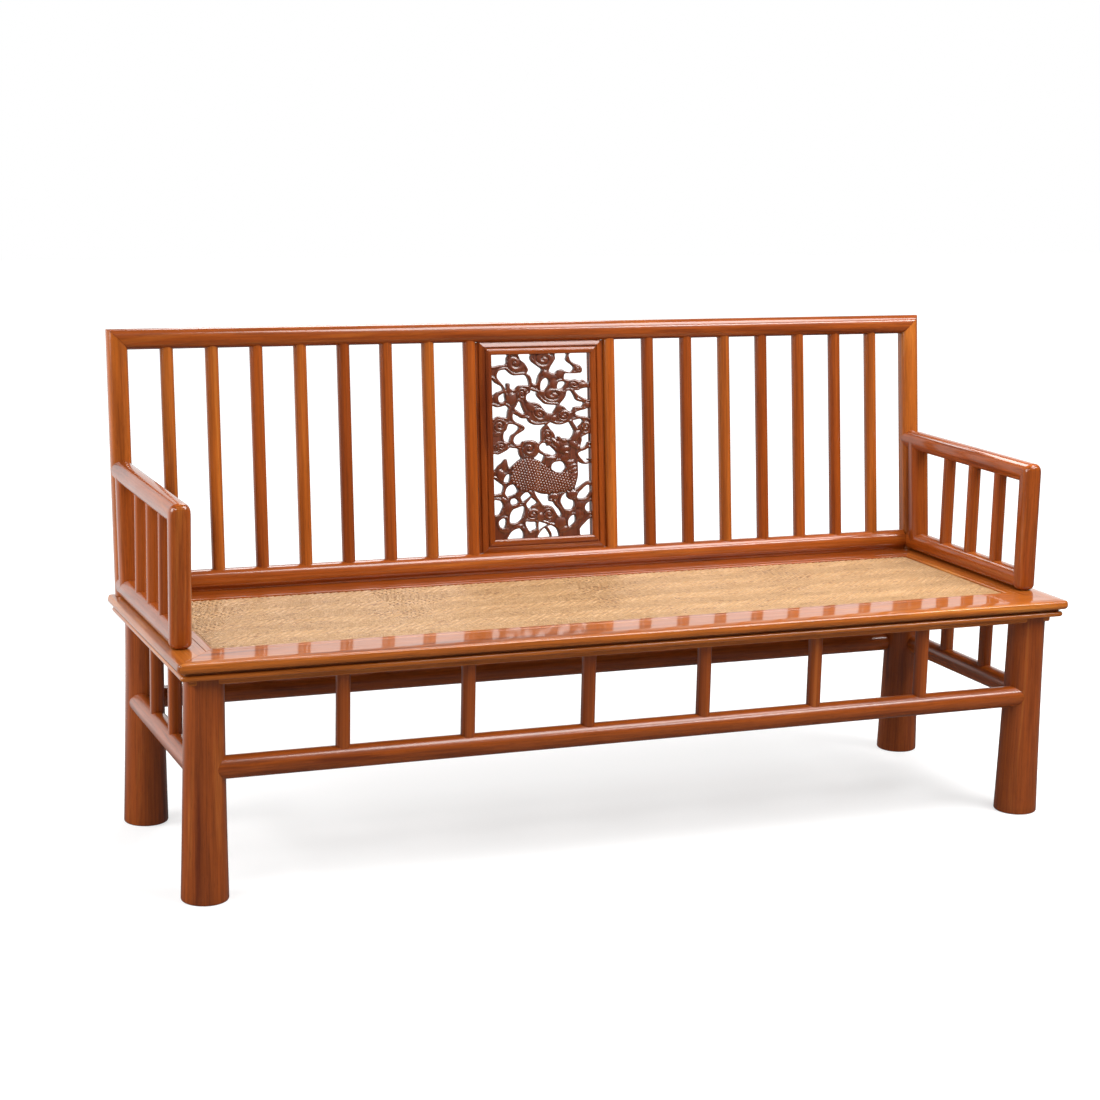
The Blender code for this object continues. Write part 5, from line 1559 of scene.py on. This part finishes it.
def scale_tree():
    """Rows of scales laid on the beast's body, each turned to the surface it lies on."""
    nodes, given = new_geometry_tree("scale_coat", (
        ("Body", "Object"), ("Scale", "Object"), ("Centre", "Vector"), ("Width", "Float"),
        ("Height", "Float"), ("Pitch", "Float"), ("Lean", "Float"), ("Material", "Material"),
    ))
    row_pitch = 0.80
    steepest = 0.45
    ray_length = 0.1
    body = nodes.add("GeometryNodeObjectInfo", given["Body"]).outputs["Geometry"]
    scale = nodes.add("GeometryNodeObjectInfo", given["Scale"]).outputs["Geometry"]
    columns = nodes.math("CEIL", nodes.over(given["Width"], given["Pitch"]))
    rows = nodes.math("CEIL", nodes.over(given["Height"], nodes.times(given["Pitch"], row_pitch)))
    grid = nodes.get("GeometryNodeMeshGrid", given["Width"], given["Height"], columns, rows)
    index = nodes.get("GeometryNodeInputIndex")
    odd = nodes.math("FLOORED_MODULO", nodes.math("FLOORED_MODULO", index, rows), 2.0)
    shift = nodes.combine(nodes.times(odd, nodes.times(given["Pitch"], 0.5)), 0.0, 0.0)
    grid = nodes.get("GeometryNodeSetPosition", grid, None, None, shift)
    lean = nodes.get("FunctionNodeEulerToRotation", nodes.combine(0.0, 0.0, given["Lean"]))
    grid = nodes.get("GeometryNodeTransform", grid, given["Centre"], lean)
    ray = nodes.add("GeometryNodeRaycast", body)
    nodes.give(ray.inputs["Ray Direction"], (0, 0, -1))
    nodes.give(ray.inputs["Ray Length"], ray_length)
    _, _, upright = nodes.separate(ray.outputs["Hit Normal"])
    facing = nodes.math("GREATER_THAN", upright, steepest)
    kept = nodes.times(ray.outputs["Is Hit"], facing)
    lined = nodes.store(grid, "kept", "FLOAT", kept)
    lined = nodes.store(lined, "facing", "FLOAT_VECTOR", ray.outputs["Hit Normal"])
    landed = nodes.get("GeometryNodeSetPosition", lined, None, ray.outputs["Hit Position"])
    points = nodes.get("GeometryNodeMeshToPoints", landed, nodes.named("kept", "FLOAT"))
    surface = nodes.named("facing", "FLOAT_VECTOR")
    turn = nodes.get("FunctionNodeAlignRotationToVector", lean, 1.0, surface, axis="Z")
    coat = nodes.get("GeometryNodeInstanceOnPoints", points, None, scale, None, None, turn)
    finish_tree(nodes, coat, given["Material"])
    return nodes.tree


def scale_mesh(pitch):
    """One scale: a dome that stands highest at its free edge, closed underneath, with painted shade around
    its foot.
    """
    steps = 12
    # Rings from the foot up: radius and height in pitches, and painted shade
    rings = ((0.62, -0.14, 0.9), (0.62, 0.03, 0.5), (0.52, 0.13, 0.0), (0.30, 0.25, 0.0))
    top = 0.29
    lean = 0.13
    points = []
    painted_shade = []
    for reach, rise, dark in rings:
        for k in range(steps):
            angle = 2 * math.pi * k / steps
            x = reach * math.cos(angle)
            points.append((x * pitch, reach * math.sin(angle) * pitch, (rise - lean * x) * pitch))
            painted_shade.append(dark)
    points.append((0, 0, top * pitch))
    painted_shade.append(0.0)
    faces = [tuple(reversed(range(steps)))]
    last = len(rings) - 1
    for ring in range(last):
        for k in range(steps):
            n = (k + 1) % steps
            low = ring * steps
            faces.append((low + k, low + n, low + steps + n, low + steps + k))
    faces += [(last * steps + k, last * steps + (k + 1) % steps, len(points) - 1) for k in range(steps)]
    mesh = bpy.data.meshes.new("one_scale")
    mesh.from_pydata(points, [], faces)
    set_attribute(mesh, "painted_shade", "FLOAT", painted_shade)
    return mesh


class BENCH_OT_carving(bpy.types.Operator):
    """Carved openwork board: a scaled beast among clouds and rocks"""
    bl_idname = "bench.carving"
    bl_label = "Carving"
    # Painted shade on the board's back and on the walls of its openings
    back_painted_shade = 0.2
    rim_painted_shade = 0.6
    # Distances from the openings, in lips: rows of points in front and behind, and the nearest others
    front_rows = (0.15, 0.45, 1.0, 1.5, 2.1)
    back_rows = (0.3, 1.0)
    nearest = 2.4
    # Closer spacing of the points in the spirals, and where the board's own grain was cut
    spiral_grain = 0.7
    grain_cut = 3.7

    def execute(self, context):
        bench, at = bench_of(context)
        panel = bench.panel
        wood = lacquer(bench, "carved_lacquer")
        board = Board(panel, at)
        front, triangles, painted_shade, coat = self.front(board)
        back, back_triangles = self.back(board)
        scales = self.scales(board, front, triangles, coat, wood)

        first_back = len(front)
        first_scale = first_back + len(back)
        faces = triangles.tolist() + (back_triangles[:, ::-1] + first_back).tolist()
        twins = {tuple(spot): k for k, spot in enumerate(back[:, :2].round(6).tolist(), first_back)}
        flat = [tuple(spot) for spot in front[:, :2].round(6).tolist()]
        for a, b in open_edges(triangles).tolist():
            faces.append((b, a, twins[flat[a]], twins[flat[b]]))
        spots = np.concatenate([front, back, np.array([tuple(v.co) for v in scales.vertices])])
        faces += [tuple(first_scale + k for k in face.vertices) for face in scales.polygons]
        scale_painted_shade = [spot.value for spot in scales.attributes["painted_shade"].data]
        painted_shade = np.concatenate([painted_shade, np.zeros(len(back)), scale_painted_shade])

        name = "carved_panel_look"
        mesh = bpy.data.meshes.new(name)
        mesh.from_pydata(spots.tolist(), [], faces)
        set_attribute(mesh, "grain", "FLOAT_VECTOR", spots[:, [1, 0, 2]] + self.grain_cut)
        set_attribute(mesh, "tone", "FLOAT", np.zeros(len(spots)))
        # Painted shade: the carving darkens with depth below half its relief, and never less than the
        # shade laid on its parts; its back and the walls of its openings get a fixed painted shade
        shade_free_height = panel.front * 0.5
        darkest = -panel.back * 0.3
        shade = np.maximum((shade_free_height - spots[:, 2]) / (shade_free_height - darkest), painted_shade).clip(0, 1)
        shade[first_back:first_scale] = self.back_painted_shade
        for k in np.unique(open_edges(triangles)).tolist():
            shade[[k, twins[flat[k]]]] = self.rim_painted_shade
        set_attribute(mesh, "recess_shade", "FLOAT", shade)
        place = at.panel @ Matrix.Rotation(math.pi / 2, 4, "X")
        add_piece(name, mesh, wood, ("carved_panel",), place, CARVED_ANGLE)
        return {"FINISHED"}

    def front(self, board):
        """Carved face: rows of points along the openings, closer rows in the spirals."""
        lip = board.panel.lip
        grain = board.panel.grain
        rows = [board.along_openings(lip * share) for share in self.front_rows]
        coarse = board.across(grain)
        fine = board.across(grain * self.spiral_grain)
        wound = np.zeros(len(fine), bool)
        plain = np.ones(len(coarse), bool)
        for *oval, way in SPIRALS:
            wound |= board.polar(fine, *oval)[0] < 1
            plain &= board.polar(coarse, *oval)[0] > 1
        spots = np.concatenate([fine[wound], coarse[plain]])
        spots = spots[distances(board.edges, spots) > self.nearest * lip]
        placed, triangles = board.face(np.concatenate([*rows, spots, board.frame_lines()]))
        height, painted_shade, coat = board.carve(placed)
        return np.column_stack((placed, height)), triangles, painted_shade, coat

    def back(self, board):
        """Plain back with rounded openings."""
        rows = [board.along_openings(board.panel.lip * share) for share in self.back_rows]
        placed, triangles = board.face(np.concatenate([*rows, board.frame_lines()]))
        return np.column_stack((placed, board.hollow(placed))), triangles

    def scales(self, board, front, triangles, coat, wood):
        """Coat of scales on the beast's body."""
        mesh = bpy.data.meshes.new("beast_body")
        mesh.from_pydata(front.tolist(), [], triangles[coat[triangles].all(axis=1)].tolist())
        body = link_helper("beast_body", mesh)
        scale = link_helper("one_scale", scale_mesh(board.panel.scale_pitch))
        u, v, width, height = np.array(COAT) * np.tile(board.scale, 2)
        made = grow("scale_coat", scale_tree(), {
            "Body": body, "Scale": scale, "Centre": (u, v, 0.05), "Width": width, "Height": height,
            "Pitch": board.panel.scale_pitch, "Lean": math.radians(COAT_LEAN), "Material": wood,
        })
        for helper in (body, scale):
            bpy.data.objects.remove(helper, do_unlink=True)
        return made


class BENCH_OT_arms(bpy.types.Operator):
    """Arm rails and posts with their spindles"""
    bl_idname = "bench.arms"
    bl_label = "Arms"

    def execute(self, context):
        bench, at = bench_of(context)
        back, arms = bench.back, bench.arms
        wood = lacquer(bench, "satin_lacquer")
        section = squircle(at.half, back.fullness, MEMBER_SIDES)
        middle = at.arm_bottom + at.half
        tan = math.tan(back.rake)
        sin = math.sin(back.rake)
        cos = math.cos(back.rake)

        def drop(a):
            return falls_back(a, at.half, back.fullness)

        def back_end(a, height):
            return at.back_y + height * tan - (at.half - drop(a) + at.gap) / cos

        corner = self.corner_rings(section, at.half, arms.corner)
        top_rings = []
        for ring in reversed(corner):
            top_rings.append([
                (a, at.arm_front - b + before + ease + at.mitre, middle + b - ease)
                for a, b, before, ease in ring
            ])
        top_rings.append([(a, back_end(a, middle + b), middle + b) for a, b in section])
        post_rings = []
        for lift, drawn in rounded_foot(arms.foot):
            size = 1 - drawn / at.half
            post_rings.append([(a * size, at.arm_front - b * size, at.gap + lift) for a, b in section])
        for ring in corner:
            post_rings.append([
                (a, at.arm_front - b + ease, middle + b - before - ease - at.mitre)
                for a, b, before, ease in ring
            ])
        low = at.half + at.gap
        low_rings = [
            [(a, at.arm_front + at.half - drop(a) + at.gap, low + b) for a, b in section],
            [(a, back_end(a, low + b), low + b) for a, b in section],
        ]
        low_top = back.member + at.gap
        rear_depth = -back.member - at.gap
        rear_rings = []
        for level_at, sign in ((low_top, -1), (at.arm_bottom, 1)):
            rear_rings.append([
                (a, b + rear_depth, (level_at + sign * (drop(a) - at.gap) + (b + rear_depth) * sin) / cos)
                for a, b in section
            ])

        for name, x in (("left", -at.post_x), ("right", at.post_x)):
            place = at.bench @ Matrix.Translation((x, 0, bench.seat.height))
            prefix = f"arm_{name}_"
            for part, rings, axis, where in (
                ("top_rail", top_rings, 1, place),
                ("bottom_rail", low_rings, 1, place),
                ("front_post", post_rings, 2, place),
                ("back_post", rear_rings, 2, at.rake @ Matrix.Translation((x, 0, 0))),
            ):
                add_wood(prefix + part, section, rings, axis, wood, where)
            quarter = Matrix.Rotation(math.pi / 2, 4, "Z")
            nodes = [f"{prefix}spindle_{k + 1}" for k in range(arms.spindles)]
            add_uprights(prefix + "spindles", bench, place @ quarter, {
                "Count": arms.spindles, "Pitch": arms.pitch, "Start": at.arm_front + arms.first,
                "Half width": back.spindle, "Foot": low_top, "Head": at.arm_bottom,
                "Foot rail": at.half, "Head rail": at.half,
            }, nodes)
        return {"FINISHED"}

    def corner_rings(self, section, half, radius):
        """Rings up to a mitre with a rounded outside: distance before it, and how far it is eased."""
        rings = []
        steps = 7
        for k in range(steps + 1):
            angle = math.pi / 4 * k / steps
            before = radius * (math.cos(angle) - math.sin(angle))
            ease = radius * (1 - math.cos(angle))
            rings.append([(a, b, before, ease * (b + half) / (2 * half)) for a, b in section])
        return rings


class BENCH_OT_stage(bpy.types.Operator):
    """Pale floor, soft light and the camera"""
    bl_idname = "bench.stage"
    bl_label = "Stage"

    def execute(self, context):
        stage = context.scene.bench.stage
        self.add_camera(context.scene, stage)
        self.add_floor(stage)
        self.add_sky(context.scene, stage)
        for softbox in SOFTBOXES:
            self.add_softbox(*softbox)
        context.scene.view_settings.view_transform = "Standard"
        return {"FINISHED"}

    def add_camera(self, scene, stage):
        data = bpy.data.cameras.new("camera")
        data.lens = stage.lens
        data.sensor_width = 36
        data.sensor_fit = "HORIZONTAL"
        camera = link_helper("camera", data)
        yaw, pitch, roll = stage.yaw, stage.pitch, stage.roll
        flat = math.cos(pitch)
        forward = Vector((math.sin(yaw) * flat, math.cos(yaw) * flat, -math.sin(pitch)))
        right = Vector((math.cos(yaw), -math.sin(yaw), 0))
        up = right.cross(forward)
        side = right * math.cos(roll) + up * math.sin(roll)
        top = up * math.cos(roll) - right * math.sin(roll)
        turn = Matrix((side, top, -forward)).transposed().to_4x4()
        camera.matrix_world = Matrix.Translation(stage.eye) @ turn
        scene.camera = camera

    def add_floor(self, stage):
        reach = 14
        corners = [(x * reach, y * reach, 0) for x, y in ((-1, -1), (1, -1), (1, 1), (-1, 1))]
        mesh = bpy.data.meshes.new("floor")
        mesh.from_pydata(corners, [], [(0, 1, 2, 3)])
        material = bpy.data.materials.new("pale_floor")
        material.use_nodes = True
        nodes = Nodes(material.node_tree)
        material.node_tree.nodes.clear()
        spot = nodes.add("ShaderNodeNewGeometry").outputs["Position"]
        x, y, _ = nodes.separate(spot)
        camera_ray, mirror_ray = nodes.rays()

        # Matt floor that grows white away from the bench
        far = nodes.add("ShaderNodeVectorMath", spot, operation="LENGTH").outputs["Value"]
        lift = nodes.times(camera_ray, nodes.between(far, 1.2, 4.5, stage.floor_near, 1.0))
        matt = nodes.get("ShaderNodeBsdfDiffuse", (*stage.floor, 1))
        glow = nodes.get("ShaderNodeEmission", WHITE, lift)
        seen = nodes.get("ShaderNodeAddShader", matt, glow)

        # What the lacquer mirrors of it: pale on the left behind the bench, dark elsewhere
        pale = nodes.times(nodes.between(x, -0.2, -1.3), nodes.between(y, 0.2, 1.4))
        mirrored = nodes.between(nodes.times(pale, 0.95), 0.0, 1.0, stage.floor_front, stage.backdrop)
        reflected = nodes.get("ShaderNodeEmission", WHITE, mirrored)
        surface = nodes.get("ShaderNodeMixShader", mirror_ray, seen, reflected)
        nodes.add("ShaderNodeOutputMaterial", surface)
        mesh.materials.append(material)
        link_helper("floor", mesh)

    def add_sky(self, scene, stage):
        world = bpy.data.worlds.new("studio")
        world.use_nodes = True
        scene.world = world
        nodes = Nodes(world.node_tree)
        world.node_tree.nodes.clear()
        camera_ray, mirror_ray = nodes.rays()
        x, y, z = nodes.separate(nodes.add("ShaderNodeTexCoord").outputs["Generated"])

        # What the lacquer mirrors: a low white backdrop behind the bench in a dark room
        wall = nodes.times(nodes.between(y, 0.15, 0.6), nodes.between(z, 0.34, 0.42, 1.0, 0.0))
        mirrored = nodes.between(wall, 0.0, 1.0, stage.room, stage.backdrop)

        # Even light, stronger from above, from the left and from behind; white for the camera
        even = nodes.times_plus(z, stage.sky_top, stage.sky)
        even = nodes.times_plus(x, -stage.sky_left, even)
        even = nodes.largest(nodes.times_plus(y, stage.sky_back, even), 0.0)
        strength = nodes.get("ShaderNodeMix", mirror_ray, None, even, mirrored)
        strength = nodes.get("ShaderNodeMix", camera_ray, None, strength, 1.0)
        nodes.add("ShaderNodeOutputWorld", nodes.get("ShaderNodeBackground", WHITE, strength))

    def add_softbox(self, name, place, aim, width, height, power):
        data = bpy.data.lights.new(name, "AREA")
        data.shape = "RECTANGLE"
        data.size = width
        data.size_y = height
        data.energy = power
        light = link_helper(name, data)
        light.location = place
        light.rotation_euler = (Vector(aim) - Vector(place)).to_track_quat("-Z", "Y").to_euler()


class BENCH_PT_sidebar(bpy.types.Panel):
    """Sidebar panel with every step"""
    bl_label = "Settee bench"
    bl_idname = "BENCH_PT_sidebar"
    bl_space_type = "VIEW_3D"
    bl_region_type = "UI"
    bl_category = "Bench"

    def draw(self, context):
        for operator in OPERATORS:
            self.layout.operator(operator.bl_idname)


GROUPS = (SeatSizes, BaseSizes, BackSizes, PanelSizes, ArmSizes, Finishes, StageSettings, BenchSettings)
OPERATORS = (
    BENCH_OT_seat_frame, BENCH_OT_seat_mat, BENCH_OT_base, BENCH_OT_back, BENCH_OT_panel_frame,
    BENCH_OT_carving, BENCH_OT_arms, BENCH_OT_stage,
)


def register():
    for cls in (*GROUPS, *OPERATORS, BENCH_PT_sidebar):
        bpy.utils.register_class(cls)
    bpy.types.Scene.bench = PointerProperty(type=BenchSettings)


def unregister():
    del bpy.types.Scene.bench
    for cls in reversed((*GROUPS, *OPERATORS, BENCH_PT_sidebar)):
        bpy.utils.unregister_class(cls)


def main():
    """Run every step in order."""
    register()
    bpy.ops.bench.seat_frame()
    bpy.ops.bench.seat_mat()
    bpy.ops.bench.base()
    bpy.ops.bench.back()
    bpy.ops.bench.panel_frame()
    bpy.ops.bench.carving()
    bpy.ops.bench.arms()
    bpy.ops.bench.stage()


if __name__ == "__main__":
    main()
